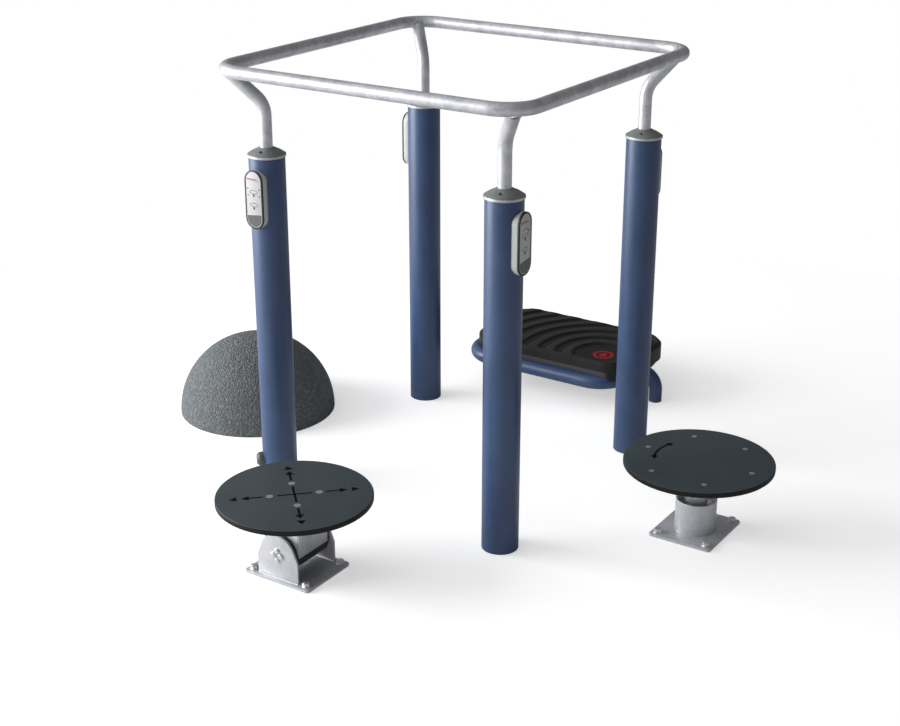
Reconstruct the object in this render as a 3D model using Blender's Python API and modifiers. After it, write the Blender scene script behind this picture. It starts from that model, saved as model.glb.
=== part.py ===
# Balance station for an outdoor fitness ground.
# Four posts carry a square tube handrail. Outside the middle of each side stands one
# balance element: a tilting disc, a spinning disc, a ribbed step deck and a rubber dome.
# Metres, +Z up. The origin is at the bottom centre of the whole part's box.

import math

import bmesh
import bpy
from mathutils import Matrix, Vector

MM = 0.001

# Shared fits
RUN_GAP = 0.3 * MM
BOLT_CLEARANCE = 0.5 * MM
CUT_OVERRUN = 2 * MM
WELD_DEPTH = 2 * MM
MERGE_DISTANCE = 0.01 * MM

# Frame layout, measured from the middle of the handrail square
POST_OFFSET = 384 * MM
STATION_OFFSET = 786 * MM

# Posts
POST_RADIUS = 50.8 * MM
POST_WALL = 3.2 * MM
POST_HEIGHT = 985 * MM

# Post caps
CAP_RIM_OVERHANG = 3.2 * MM
CAP_RIM_RADIUS = POST_RADIUS + CAP_RIM_OVERHANG
CAP_RIM_HEIGHT = 7 * MM
CAP_RIM_ROUND = 1.5 * MM
CAP_CONE_RISE = 17 * MM
CAP_COLLAR_WIDTH = 5 * MM
CAP_COLLAR_HEIGHT = 1 * MM
CAP_PLUG_DEPTH = 40 * MM
CAP_PLUG_WALL = 4 * MM
CAP_POCKET_RADIUS = 5.5 * MM
CAP_POCKET_DEPTH = 9 * MM
CAP_POCKET_OFFSET = 16 * MM
CAP_POCKETS = 3

# Handrail and the bent tubes that carry it
RAIL_RADIUS = 19 * MM
RAIL_OVERHANG = 96 * MM
RAIL_CORNER_RADIUS = 90 * MM
RAIL_RISE = 244 * MM
RAIL_HALF_SIDE = POST_OFFSET + RAIL_OVERHANG
RAIL_HEIGHT = POST_HEIGHT + RAIL_RISE
RISER_BEND_RADIUS = 75 * MM
RISER_LEAN = math.radians(45)
RISER_INSERT = 120 * MM

# Signs on the posts
SIGN_HEIGHT = 167 * MM
SIGN_WIDTH = 62 * MM
SIGN_DROP = 111.5 * MM
SIGN_STAND_OFF = 7.2 * MM
SIGN_CENTRE_HEIGHT = POST_HEIGHT - SIGN_DROP
SIGN_BRACKET_FRONT = POST_RADIUS + SIGN_STAND_OFF
SIGN_RIM_DEPTH = 5 * MM
SIGN_RIM_WIDTH = 4 * MM
SIGN_PLATE_THICKNESS = 2.5 * MM
SIGN_PLATE_STEP = 0.8 * MM

# Drain cap on the foot of one post
KNOB_RADIUS = 21 * MM
KNOB_FACE_RADIUS = 14 * MM
KNOB_REACH = 18 * MM
KNOB_SHOULDER = 16 * MM
KNOB_HEIGHT = 70 * MM

# Base plates of the two discs
PLATE_THICKNESS = 8 * MM
PLATE_CORNER = 9 * MM
PLATE_BORDER = 12 * MM
ANCHOR_EDGE = 19 * MM
ANCHOR_ROOM = 9 * MM
ANCHOR_SHANK_RADIUS = 6 * MM
ANCHOR_HOLE_RADIUS = 7 * MM
ANCHOR_HEAD_FLATS = 19 * MM
ANCHOR_HEAD_HEIGHT = 8 * MM
ANCHOR_WASHER_RADIUS = 12 * MM
ANCHOR_WASHER_HEIGHT = 2.5 * MM

# Boards of the two discs
BOARD_RADIUS = 207.5 * MM
BOARD_THICKNESS = 15 * MM
BOARD_EDGE = 3 * MM
TILT_SCREW_HEAD_RADIUS = 9.5 * MM
SPIN_SCREW_HEAD_RADIUS = 7.5 * MM
SCREW_HEAD_HEIGHT = 3 * MM
SCREW_SHANK_RADIUS = 4 * MM

# Tilting disc: lower and upper rubber torsion units
LOWER_HOUSING_RADIUS = 54 * MM
LOWER_HOUSING_WALL = 8 * MM
LOWER_UNIT_GAP = 14 * MM
LOWER_AXIS_HEIGHT = PLATE_THICKNESS + LOWER_UNIT_GAP + LOWER_HOUSING_RADIUS
EAR_MARGIN = 3 * MM
EAR_FLARE = 9 * MM
EAR_SHOULDER_DROP = 10 * MM
EAR_THICKNESS = 6 * MM
EAR_OUTER_SPAN = 160 * MM
EAR_TOP_RADIUS = LOWER_HOUSING_RADIUS + EAR_MARGIN
EAR_HALF_WIDTH = EAR_TOP_RADIUS + EAR_FLARE
EAR_SIDE_GAP = 4 * MM
LOWER_HOUSING_LENGTH = EAR_OUTER_SPAN - 2 * (EAR_THICKNESS + EAR_SIDE_GAP)
LOWER_CORE_SIDE = 30 * MM
LOWER_BOLT_OFFSET = 13 * MM
LOWER_BOLT_RADIUS = 4 * MM
LOWER_BOLT_HEAD_FLATS = 13 * MM
LOWER_BOLT_HEAD_HEIGHT = 5.5 * MM
UPPER_HOUSING_RADIUS = 25.5 * MM
UPPER_HOUSING_WALL = 4.5 * MM
UPPER_UNIT_GAP = 1.5 * MM
UPPER_AXIS_HEIGHT = LOWER_AXIS_HEIGHT + LOWER_HOUSING_RADIUS + UPPER_UNIT_GAP + UPPER_HOUSING_RADIUS
CARRIER_WALL = 6 * MM
CARRIER_SETBACK = 10 * MM
CARRIER_SKIRT_DROP = 3 * MM
CARRIER_SIDE_RISE = 1 * MM
CARRIER_FRONT_DROP = 7 * MM
CARRIER_FRONT_INSET = 1 * MM
CARRIER_EAR_RADIUS = 30 * MM
CARRIER_EAR_DROP = 9 * MM
CARRIER_WIDTH = 2 * LOWER_HOUSING_RADIUS + CARRIER_WALL
CARRIER_LENGTH = LOWER_HOUSING_LENGTH - 2 * CARRIER_SETBACK
UPPER_SIDE_GAP = 4 * MM
UPPER_HOUSING_LENGTH = CARRIER_WIDTH - 2 * (CARRIER_WALL + UPPER_SIDE_GAP)
UPPER_CORE_SIDE = 22 * MM
UPPER_BOLT_OFFSET = 8 * MM
UPPER_BOLT_RADIUS = 3 * MM
UPPER_BOLT_HEAD_FLATS = 10 * MM
UPPER_BOLT_HEAD_HEIGHT = 4 * MM
HEAD_PLATE_SIDE = 150 * MM
HEAD_PLATE_THICKNESS = 6 * MM
HEAD_PLATE_CORNER = 10 * MM
HEAD_NECK_RISE = 16.2 * MM
HEAD_NECK_SETBACK = 7 * MM
HEAD_NECK_INSET = 2.5 * MM
TILT_SCREW_INSET = 29 * MM
TILT_SCREW_CIRCLE = (HEAD_PLATE_SIDE / 2 - TILT_SCREW_INSET) * math.sqrt(2)
TILT_SCREWS = 4
HEAD_TOP_HEIGHT = UPPER_AXIS_HEIGHT + UPPER_HOUSING_RADIUS + HEAD_NECK_RISE + HEAD_PLATE_THICKNESS
TILT_TOP_HEIGHT = HEAD_TOP_HEIGHT + RUN_GAP + BOARD_THICKNESS

# What follows from the ears: the anchors stand clear of them, and the plate reaches past both
ANCHOR_SPACING_LONG = 2 * (EAR_HALF_WIDTH + ANCHOR_ROOM + ANCHOR_WASHER_RADIUS)
PLATE_LENGTH = ANCHOR_SPACING_LONG + 2 * ANCHOR_EDGE
PLATE_WIDTH = EAR_OUTER_SPAN + 2 * PLATE_BORDER
ANCHOR_SPACING_SHORT = PLATE_WIDTH - 2 * ANCHOR_EDGE

# Spinning disc
PEDESTAL_RADIUS = 57.15 * MM
PEDESTAL_WALL = 4 * MM
PEDESTAL_HEIGHT = 98 * MM
SPIN_BOARD_RISE = 116 * MM
SPIN_TOP_HEIGHT = PEDESTAL_HEIGHT + SPIN_BOARD_RISE
BEARING_TOP_DROP = 14 * MM
BEARING_HEIGHT = 46 * MM
BEARING_FLANGE_STEP = 6 * MM
BEARING_BOSS_RADIUS = 31 * MM
SPINDLE_RADIUS = 20 * MM
SPINDLE_COLLAR_RADIUS = 34 * MM
SPINDLE_COLLAR_GAP = 1 * MM
SPIN_FLANGE_INSET = 37.5 * MM
SPIN_FLANGE_THICKNESS = 6 * MM
SPIN_SCREW_INSET = 15 * MM
SPIN_FLANGE_RADIUS = BOARD_RADIUS - SPIN_FLANGE_INSET
SPIN_SCREW_CIRCLE = SPIN_FLANGE_RADIUS - SPIN_SCREW_INSET
SPIN_SCREWS = 6

# Step deck
STEP_CENTRE_X = -50 * MM
STEP_CENTRE_Y = 767 * MM
STEP_TUBE_RADIUS = 24 * MM
STEP_TUBE_HEIGHT = 95 * MM
STEP_LOOP_CORNER = 95 * MM
STEP_LEG_RADIUS = 21.2 * MM
STEP_LEG_BEND = 54 * MM
STEP_LEG_OUT = 77 * MM
STEP_CROSS_SETBACK = 99 * MM
STEP_CROSS_RADIUS = 16.8 * MM
STEP_INNER_LEG_RADIUS = 15 * MM
DECK_HALF_LENGTH = 295 * MM
DECK_HALF_WIDTH = 174 * MM
DECK_CORNER = 90 * MM
DECK_SEAT_RISE = 11 * MM
DECK_THICKNESS = 63 * MM
DECK_BOTTOM_HEIGHT = STEP_TUBE_HEIGHT + DECK_SEAT_RISE
DECK_TOP_HEIGHT = DECK_BOTTOM_HEIGHT + DECK_THICKNESS
STEP_LOOP_MARGIN = 4 * MM
STEP_LOOP_SETBACK = 40 * MM
STEP_LOOP_LEFT = DECK_HALF_LENGTH + STEP_LOOP_MARGIN
STEP_LOOP_RIGHT = DECK_HALF_LENGTH - STEP_LOOP_SETBACK
STEP_LOOP_HALF_WIDTH = DECK_HALF_WIDTH + STEP_LOOP_MARGIN
STEP_LEG_REACH = STEP_LOOP_RIGHT + STEP_LEG_OUT
STEP_CROSS_OFFSET = STEP_LOOP_LEFT - STEP_CROSS_SETBACK
DECK_EDGE_SLOPE = 14 * MM
DECK_FIELD_BORDER = 26 * MM
GROOVE_FIRST_RADIUS = 88 * MM
GROOVE_PITCH = 39 * MM
GROOVE_WIDTH = 17 * MM
GROOVE_DEPTH = 6 * MM
GROOVE_COUNT = 8
GROOVE_CENTRE_X = 182 * MM
GROOVE_CENTRE_Y = -98 * MM

# Rubber dome
DOME_RADIUS = 252 * MM
DOME_OFFSET = 793 * MM

# Facets
POST_STEPS = 32
CAP_STEPS = 20
BOARD_STEPS = 40
SPIN_STEPS = 24
HOUSING_STEPS = 24
HOLE_STEPS = 8
SCREW_STEPS = 8
EAR_STEPS = 10
GROOVE_STEPS = 32
DOME_STEPS = 28
DOME_RINGS = 8
TUBE_ROUND_STEPS = 3
CORNER_STEPS = 4

# The part's box is not centred on the handrail, so its middle is worked out here
BOX_LEFT = -(DOME_OFFSET + DOME_RADIUS)
BOX_RIGHT = STATION_OFFSET + BOARD_RADIUS
BOX_FRONT = -(STATION_OFFSET + BOARD_RADIUS)
BOX_BACK = STEP_CENTRE_Y + STEP_LOOP_HALF_WIDTH + STEP_TUBE_RADIUS
MIDDLE_X = (BOX_LEFT + BOX_RIGHT) / 2
MIDDLE_Y = (BOX_FRONT + BOX_BACK) / 2

QUARTER_TURN = math.pi / 2


# Scene set-up

def clear_scene():
    for scene_object in list(bpy.data.objects):
        bpy.data.objects.remove(scene_object, do_unlink=True)


def new_collection(name):
    collection = bpy.data.collections.new(name)
    bpy.context.scene.collection.children.link(collection)
    return collection


clear_scene()
PARTS = new_collection("balance_station")
CUTTERS = new_collection("cutters")


def make_material(name, colour, roughness, metallic):
    material = bpy.data.materials.new(name)
    material.use_nodes = True
    shader = material.node_tree.nodes["Principled BSDF"]
    shader.inputs["Base Color"].default_value = (*colour, 1)
    shader.inputs["Roughness"].default_value = roughness
    shader.inputs["Metallic"].default_value = metallic
    return material


BLUE_PAINT = make_material("blue_powder_coat", (0.036, 0.066, 0.15), 0.4, 0)
GALVANISED = make_material("galvanised_steel", (0.5, 0.51, 0.55), 0.42, 0.8)
CAST_ALLOY = make_material("cast_aluminium", (0.26, 0.29, 0.28), 0.5, 0.6)
SIGN_GREY = make_material("sign_housing", (0.42, 0.44, 0.44), 0.5, 0)
SIGN_BLACK = make_material("sign_rim", (0.015, 0.015, 0.016), 0.5, 0)
SIGN_WHITE = make_material("sign_plate", (0.75, 0.75, 0.75), 0.35, 0)
BOARD_SLATE = make_material("slate_board", (0.05, 0.062, 0.07), 0.55, 0)
BLACK_PAINT = make_material("black_housing", (0.02, 0.022, 0.027), 0.5, 0)
RUBBER = make_material("torsion_rubber", (0.012, 0.012, 0.012), 0.8, 0)
BRIGHT_STEEL = make_material("zinc_bolt", (0.65, 0.65, 0.65), 0.3, 1)
STAINLESS = make_material("stainless_screw", (0.55, 0.56, 0.56), 0.3, 1)
DECK_RUBBER = make_material("deck_rubber", (0.014, 0.014, 0.014), 0.6, 0)
GRANULATE = make_material("rubber_granulate", (0.13, 0.14, 0.15), 0.9, 0)
BEARING_STEEL = make_material("bearing_steel", (0.3, 0.31, 0.33), 0.35, 0.9)


# Placing

def new_empty(name, location, turn=0, parent=None):
    empty = bpy.data.objects.new(name, None)
    empty.empty_display_size = RAIL_CORNER_RADIUS
    empty.location = location
    empty.rotation_euler = (0, 0, turn)
    empty.parent = parent
    PARTS.objects.link(empty)
    return empty


def new_object(name, mesh, parent=None, location=(0, 0, 0), turn=(0, 0, 0)):
    item = bpy.data.objects.new(name, mesh)
    item.parent = parent
    item.location = location
    item.rotation_euler = turn
    CUTTERS.objects.link(item)
    item.hide_render = True
    item.display_type = "WIRE"
    return item


def keep(item, material):
    # A new object is a cutter until this makes it a part
    CUTTERS.objects.unlink(item)
    PARTS.objects.link(item)
    item.hide_render = False
    item.display_type = "TEXTURED"
    item.data.materials.clear()
    item.data.materials.append(material)
    return item


def combine(item, other, operation):
    step = item.modifiers.new(operation.lower() + "_" + other.name, "BOOLEAN")
    step.operation = operation
    step.object = other
    step.solver = "EXACT"


def cut(item, other):
    combine(item, other, "DIFFERENCE")


def weld(item, other):
    combine(item, other, "UNION")


# Outlines

def arc_points(centre_x, centre_y, radius, start, end, steps):
    points = []
    for index in range(steps + 1):
        angle = start + (end - start) * index / steps
        points.append((centre_x + radius * math.cos(angle), centre_y + radius * math.sin(angle)))
    return points


def circle_points(centre_x, centre_y, radius, steps=HOLE_STEPS):
    return arc_points(centre_x, centre_y, radius, 0, 2 * math.pi, steps)[:-1]


def rounded_rectangle(half_x, half_y, corner, steps=CORNER_STEPS):
    points = []
    for quarter, (side_x, side_y) in enumerate(((1, 1), (-1, 1), (-1, -1), (1, -1))):
        start = quarter * QUARTER_TURN
        corner_x = side_x * (half_x - corner)
        corner_y = side_y * (half_y - corner)
        points += arc_points(corner_x, corner_y, corner, start, start + QUARTER_TURN, steps)
    return points


def capsule(width, height, steps=6):
    radius = width / 2
    reach = (height - width) / 2
    top = arc_points(0, reach, radius, 0, math.pi, steps)
    bottom = arc_points(0, -reach, radius, math.pi, 2 * math.pi, steps)
    return top + bottom


def places_on_circle(circle, count, first_angle):
    places = []
    for index in range(count):
        angle = first_angle + 2 * math.pi * index / count
        places.append((circle * math.cos(angle), circle * math.sin(angle)))
    return places


# Shapes

def mesh_of_curve(name, curve, matrix):
    # A curve's caps are loose, so its mesh is welded before it is cut or joined
    guide = bpy.data.objects.new(name + "_guide", curve)
    PARTS.objects.link(guide)
    bpy.context.view_layer.update()
    evaluated = guide.evaluated_get(bpy.context.evaluated_depsgraph_get())
    mesh = bpy.data.meshes.new_from_object(evaluated)
    bpy.data.objects.remove(guide, do_unlink=True)
    mesh.name = name
    work = bmesh.new()
    work.from_mesh(mesh)
    bmesh.ops.remove_doubles(work, verts=work.verts, dist=MERGE_DISTANCE)
    bmesh.ops.transform(work, matrix=matrix, verts=work.verts)
    bmesh.ops.recalc_face_normals(work, faces=work.faces)
    work.to_mesh(mesh)
    work.free()
    return mesh


def flat_mesh(name, outlines, low, high, matrix=Matrix.Identity(4)):
    # The first outline is the plate and the others are its holes
    curve = bpy.data.curves.new(name, "CURVE")
    curve.dimensions = "2D"
    curve.fill_mode = "BOTH"
    curve.extrude = (high - low) / 2
    for outline in outlines:
        spline = curve.splines.new("POLY")
        spline.points.add(len(outline) - 1)
        for point, (x, y) in zip(spline.points, outline):
            point.co = (x, y, 0, 1)
        spline.use_cyclic_u = True
    lift = Matrix.Translation((0, 0, (low + high) / 2))
    return mesh_of_curve(name, curve, matrix @ lift)


def tube_mesh(name, points, radius, closed=False, rounds=TUBE_ROUND_STEPS):
    curve = bpy.data.curves.new(name, "CURVE")
    curve.dimensions = "3D"
    curve.bevel_depth = radius
    curve.bevel_resolution = rounds
    curve.use_fill_caps = not closed
    spline = curve.splines.new("POLY")
    spline.points.add(len(points) - 1)
    for point, place in zip(spline.points, points):
        point.co = (*place, 1)
    spline.use_cyclic_u = closed
    return mesh_of_curve(name, curve, Matrix.Identity(4))


def turned_object(name, profile, steps, parent=None, location=(0, 0, 0), turn=(0, 0, 0), ring=False):
    # The profile runs down the outer side at +X, from top to bottom
    return turned_set(name, [profile], steps, parent, location, turn, ring)


def turned_set(name, profiles, steps, parent, location=(0, 0, 0), turn=(0, 0, 0), ring=True):
    mesh = bpy.data.meshes.new(name)
    work = bmesh.new()
    for profile in profiles:
        verts = [work.verts.new((x, 0, z)) for x, z in profile]
        for first, second in zip(verts, verts[1:]):
            work.edges.new((first, second))
        if ring:
            work.edges.new((verts[-1], verts[0]))
    work.to_mesh(mesh)
    work.free()
    item = new_object(name, mesh, parent, location, turn)
    screw = item.modifiers.new("turn", "SCREW")
    screw.axis = "Z"
    screw.steps = steps
    screw.render_steps = steps
    screw.use_merge_vertices = True
    screw.merge_threshold = MERGE_DISTANCE
    screw.use_smooth_shade = True
    return item


def cylinder_mesh(name, radius, low, high, steps, matrix=Matrix.Identity(4)):
    mesh = bpy.data.meshes.new(name)
    work = bmesh.new()
    lift = Matrix.Translation((0, 0, (low + high) / 2))
    bmesh.ops.create_cone(work, cap_ends=True, segments=steps, radius1=radius, radius2=radius,
                          depth=high - low, matrix=matrix @ lift)
    work.to_mesh(mesh)
    work.free()
    return mesh


def drill(item, name, places, radius, low, high, parent, location=(0, 0, 0), turn=(0, 0, 0),
          steps=HOLE_STEPS):
    # One cutter for a set of equal round holes along its own Z
    pins = pins_mesh(name, places, radius, low, high, steps)
    cut(item, new_object(name, pins, parent, location, turn))


def pins_mesh(name, places, radius, low, high, steps):
    mesh = bpy.data.meshes.new(name)
    work = bmesh.new()
    for x, y in places:
        bmesh.ops.create_cone(work, cap_ends=True, segments=steps, radius1=radius, radius2=radius,
                              depth=high - low, matrix=Matrix.Translation((x, y, (low + high) / 2)))
    work.to_mesh(mesh)
    work.free()
    return mesh


def box_mesh(name, low, high):
    mesh = bpy.data.meshes.new(name)
    work = bmesh.new()
    size = Vector(high) - Vector(low)
    middle = (Vector(high) + Vector(low)) / 2
    bmesh.ops.create_cube(work, size=1, matrix=Matrix.Translation(middle) @ Matrix.Diagonal((*size, 1)))
    work.to_mesh(mesh)
    work.free()
    return mesh


# Post, cap, riser and handrail

def make_post(name, corner):
    bore = POST_RADIUS - POST_WALL
    profile = [(POST_RADIUS, POST_HEIGHT), (POST_RADIUS, 0), (bore, 0), (bore, POST_HEIGHT)]
    post = turned_object("post_" + name, profile, POST_STEPS, corner,
                         (-POST_OFFSET, -POST_OFFSET, 0), ring=True)
    return keep(post, BLUE_PAINT)


def make_cap(name, corner):
    # A cast cone with a plug in the post, a bore for the riser and three set-screw pockets
    seat = POST_HEIGHT + RUN_GAP
    rim_top = seat + CAP_RIM_HEIGHT
    cone_top = rim_top + CAP_CONE_RISE
    bore = RAIL_RADIUS + RUN_GAP
    plug = POST_RADIUS - POST_WALL - RUN_GAP
    collar = bore + CAP_COLLAR_WIDTH
    profile = [
        (bore, cone_top + CAP_COLLAR_HEIGHT),
        (collar, cone_top + CAP_COLLAR_HEIGHT),
        (collar, cone_top),
        (CAP_RIM_RADIUS - CAP_RIM_ROUND, rim_top),
        (CAP_RIM_RADIUS, rim_top - CAP_RIM_ROUND),
        (CAP_RIM_RADIUS, seat),
        (plug, seat),
        (plug, seat - CAP_PLUG_DEPTH),
        (plug - CAP_PLUG_WALL, seat - CAP_PLUG_DEPTH),
        (plug - CAP_PLUG_WALL, seat - CAP_PLUG_WALL),
        (bore, seat - CAP_PLUG_WALL),
    ]
    cap = turned_object("cap_" + name, profile, CAP_STEPS, corner,
                        (-POST_OFFSET, -POST_OFFSET, 0), ring=True)
    pocket_floor = rim_top + CAP_CONE_RISE / 2 - CAP_POCKET_DEPTH
    places = places_on_circle(RAIL_RADIUS + CAP_POCKET_OFFSET, CAP_POCKETS, 2 * QUARTER_TURN)
    drill(cap, "cap_pockets_" + name, places, CAP_POCKET_RADIUS, pocket_floor,
          cone_top + CUT_OVERRUN, corner, (-POST_OFFSET, -POST_OFFSET, 0))
    return keep(cap, CAST_ALLOY)


def rail_points():
    points = rounded_rectangle(RAIL_HALF_SIDE, RAIL_HALF_SIDE, RAIL_CORNER_RADIUS, CORNER_STEPS + 2)
    return [(x, y, RAIL_HEIGHT) for x, y in points]


def make_rail(centre):
    rail = new_object("handrail", tube_mesh("handrail", rail_points(), RAIL_RADIUS, closed=True), centre)
    return keep(rail, GALVANISED)


def riser_points():
    # Up through the cap, round the bend, then straight to the middle of the handrail's corner
    corner_diagonal = RAIL_HALF_SIDE * math.sqrt(2) - RAIL_CORNER_RADIUS * (math.sqrt(2) - 1)
    reach = corner_diagonal - POST_OFFSET * math.sqrt(2)
    bend_out = RISER_BEND_RADIUS * (1 - math.cos(RISER_LEAN))
    bend_up = RISER_BEND_RADIUS * math.sin(RISER_LEAN)
    straight_up = (reach - bend_out) / math.tan(RISER_LEAN)
    bend_start = RAIL_HEIGHT - straight_up - bend_up
    profile = [(0, POST_HEIGHT - RISER_INSERT), (0, bend_start)]
    steps = CORNER_STEPS
    for index in range(1, steps + 1):
        angle = RISER_LEAN * index / steps
        out = RISER_BEND_RADIUS * (1 - math.cos(angle))
        up = RISER_BEND_RADIUS * math.sin(angle)
        profile.append((out, bend_start + up))
    profile.append((reach, RAIL_HEIGHT))
    shares = math.sqrt(1 / 2)
    return [(-POST_OFFSET - out * shares, -POST_OFFSET - out * shares, z) for out, z in profile]


def make_riser(name, corner, centre):
    riser = new_object("riser_" + name, tube_mesh("riser_" + name, riser_points(), RAIL_RADIUS), corner)
    mouth = tube_mesh("riser_mouth_" + name, rail_points(), RAIL_RADIUS + RUN_GAP, closed=True)
    cut(riser, new_object("riser_mouth_" + name, mouth, centre))
    return keep(riser, GALVANISED)


# Signs

def sign_matrix(depth):
    # Turns an outline drawn in X and Y to stand upright, facing the station outside the post
    stand = Matrix.Rotation(QUARTER_TURN, 4, "X")
    return Matrix.Translation((-POST_OFFSET, -POST_OFFSET - depth, SIGN_CENTRE_HEIGHT)) @ stand


def make_sign(name, corner):
    # The bracket's block starts at the post's axis and is cut back to the post's wall
    outline = capsule(SIGN_WIDTH, SIGN_HEIGHT)
    block = flat_mesh("sign_bracket_" + name, [outline], 0, SIGN_BRACKET_FRONT, sign_matrix(0))
    bracket = new_object("sign_bracket_" + name, block, corner)
    seat = cylinder_mesh("sign_seat", POST_RADIUS + RUN_GAP, 0, POST_HEIGHT, POST_STEPS,
                         Matrix.Translation((-POST_OFFSET, -POST_OFFSET, 0)))
    cut(bracket, new_object("sign_seat_" + name, seat, corner))
    keep(bracket, SIGN_GREY)

    rim_back = SIGN_BRACKET_FRONT + RUN_GAP
    inner = capsule(SIGN_WIDTH - 2 * SIGN_RIM_WIDTH, SIGN_HEIGHT - 2 * SIGN_RIM_WIDTH)
    tray = flat_mesh("sign_rim_" + name, [outline], 0, SIGN_RIM_DEPTH, sign_matrix(rim_back))
    rim = new_object("sign_rim_" + name, tray, corner)
    plate_front = SIGN_RIM_DEPTH - SIGN_PLATE_STEP
    plate_back = plate_front - SIGN_PLATE_THICKNESS
    recess = flat_mesh("sign_recess_" + name, [inner], plate_back - RUN_GAP,
                       SIGN_RIM_DEPTH + CUT_OVERRUN, sign_matrix(rim_back))
    cut(rim, new_object("sign_recess_" + name, recess, corner))
    keep(rim, SIGN_BLACK)

    face_width = SIGN_WIDTH - 2 * (SIGN_RIM_WIDTH + RUN_GAP)
    face_height = SIGN_HEIGHT - 2 * (SIGN_RIM_WIDTH + RUN_GAP)
    face = flat_mesh("sign_plate_" + name, [capsule(face_width, face_height)], plate_back,
                     plate_front, sign_matrix(rim_back))
    keep(new_object("sign_plate_" + name, face, corner), SIGN_WHITE)


def make_knob(corner):
    # A plastic cap over the drain hole, on the outer diagonal of one post
    profile = [
        (0, KNOB_REACH),
        (KNOB_FACE_RADIUS, KNOB_REACH),
        ((KNOB_FACE_RADIUS + KNOB_RADIUS) / 2, KNOB_SHOULDER),
        (KNOB_RADIUS, KNOB_REACH / 2),
        (KNOB_RADIUS, -KNOB_RADIUS / 2),
        (0, -KNOB_RADIUS / 2),
    ]
    stand_off = (POST_OFFSET * math.sqrt(2) + POST_RADIUS) / math.sqrt(2)
    knob = turned_object("post_drain_cap", profile, CAP_STEPS, corner,
                         (-stand_off, -stand_off, KNOB_HEIGHT),
                         (QUARTER_TURN, 0, -QUARTER_TURN / 2))
    seat = cylinder_mesh("knob_seat", POST_RADIUS + RUN_GAP, 0, POST_HEIGHT, POST_STEPS,
                         Matrix.Translation((-POST_OFFSET, -POST_OFFSET, 0)))
    cut(knob, new_object("knob_seat", seat, corner))
    return keep(knob, CAST_ALLOY)


# Base plates and anchor bolts

def anchor_places():
    half_long = ANCHOR_SPACING_LONG / 2
    half_short = ANCHOR_SPACING_SHORT / 2
    return [(-half_long, -half_short), (half_long, -half_short),
            (half_long, half_short), (-half_long, half_short)]


def make_base_plate(name, station):
    outline = rounded_rectangle(PLATE_LENGTH / 2, PLATE_WIDTH / 2, PLATE_CORNER, 3)
    plate = new_object(name, flat_mesh(name, [outline], 0, PLATE_THICKNESS), station)
    drill(plate, name + "_anchor_holes", anchor_places(), ANCHOR_HOLE_RADIUS, -CUT_OVERRUN,
          PLATE_THICKNESS + CUT_OVERRUN, station)
    return plate


def make_anchors(prefix, station):
    # Washer and shank are turned, and the hexagon head is joined on
    seat = PLATE_THICKNESS + RUN_GAP
    washer_top = seat + ANCHOR_WASHER_HEIGHT
    profile = [
        (0, washer_top),
        (ANCHOR_WASHER_RADIUS, washer_top),
        (ANCHOR_WASHER_RADIUS, seat),
        (ANCHOR_SHANK_RADIUS, seat),
        (ANCHOR_SHANK_RADIUS, 0),
        (0, 0),
    ]
    head_radius = ANCHOR_HEAD_FLATS / math.sqrt(3)
    for index, (x, y) in enumerate(anchor_places()):
        name = prefix + "_anchor_" + str(index + 1)
        anchor = turned_object(name, profile, SCREW_STEPS, station, (x, y, 0))
        head = cylinder_mesh(name + "_head", head_radius, washer_top - ANCHOR_WASHER_HEIGHT / 2,
                             washer_top + ANCHOR_HEAD_HEIGHT, 6)
        weld(anchor, new_object(name + "_head", head, station, (x, y, 0)))
        keep(anchor, BRIGHT_STEEL)


# Discs

def make_board(name, parent, location, head_radius, screw_circle, screw_count, first_angle):
    bottom = -BOARD_THICKNESS
    profile = [
        (0, 0),
        (BOARD_RADIUS - BOARD_EDGE, 0),
        (BOARD_RADIUS - BOARD_EDGE / 3, -BOARD_EDGE / 3),
        (BOARD_RADIUS, -BOARD_EDGE),
        (BOARD_RADIUS, bottom + BOARD_EDGE),
        (BOARD_RADIUS - BOARD_EDGE, bottom),
        (0, bottom),
    ]
    board = turned_object(name, profile, BOARD_STEPS, parent, location)
    places = places_on_circle(screw_circle, screw_count, first_angle)
    drill(board, name + "_shank_holes", places, SCREW_SHANK_RADIUS + BOLT_CLEARANCE, bottom - CUT_OVERRUN,
          -SCREW_HEAD_HEIGHT / 2, parent, location)
    drill(board, name + "_head_holes", places, head_radius + RUN_GAP,
          -SCREW_HEAD_HEIGHT - RUN_GAP, CUT_OVERRUN, parent, location, steps=SCREW_STEPS)
    return keep(board, BOARD_SLATE)


def make_screws(prefix, parent, top, depth, head_radius, circle, count, first_angle):
    for index, (x, y) in enumerate(places_on_circle(circle, count, first_angle)):
        profile = [
            (0, 0),
            (head_radius, 0),
            (head_radius, -SCREW_HEAD_HEIGHT),
            (SCREW_SHANK_RADIUS, -SCREW_HEAD_HEIGHT),
            (SCREW_SHANK_RADIUS, -depth),
            (0, -depth),
        ]
        name = prefix + "_screw_" + str(index + 1)
        screw = turned_object(name, profile, SCREW_STEPS, parent, (x, y, top))
        keep(screw, STAINLESS)


# Tilting disc

def upright(location):
    # Outlines drawn in X and Y stand in X and Z, with their thickness along -Y
    return Matrix.Translation(location) @ Matrix.Rotation(QUARTER_TURN, 4, "X")


def sideways(location):
    # Outlines drawn in X and Y stand in Y and Z, with their thickness along +X
    return Matrix.Translation(location) @ Matrix.Rotation(QUARTER_TURN, 4, "Z") @ \
        Matrix.Rotation(QUARTER_TURN, 4, "X")


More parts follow.
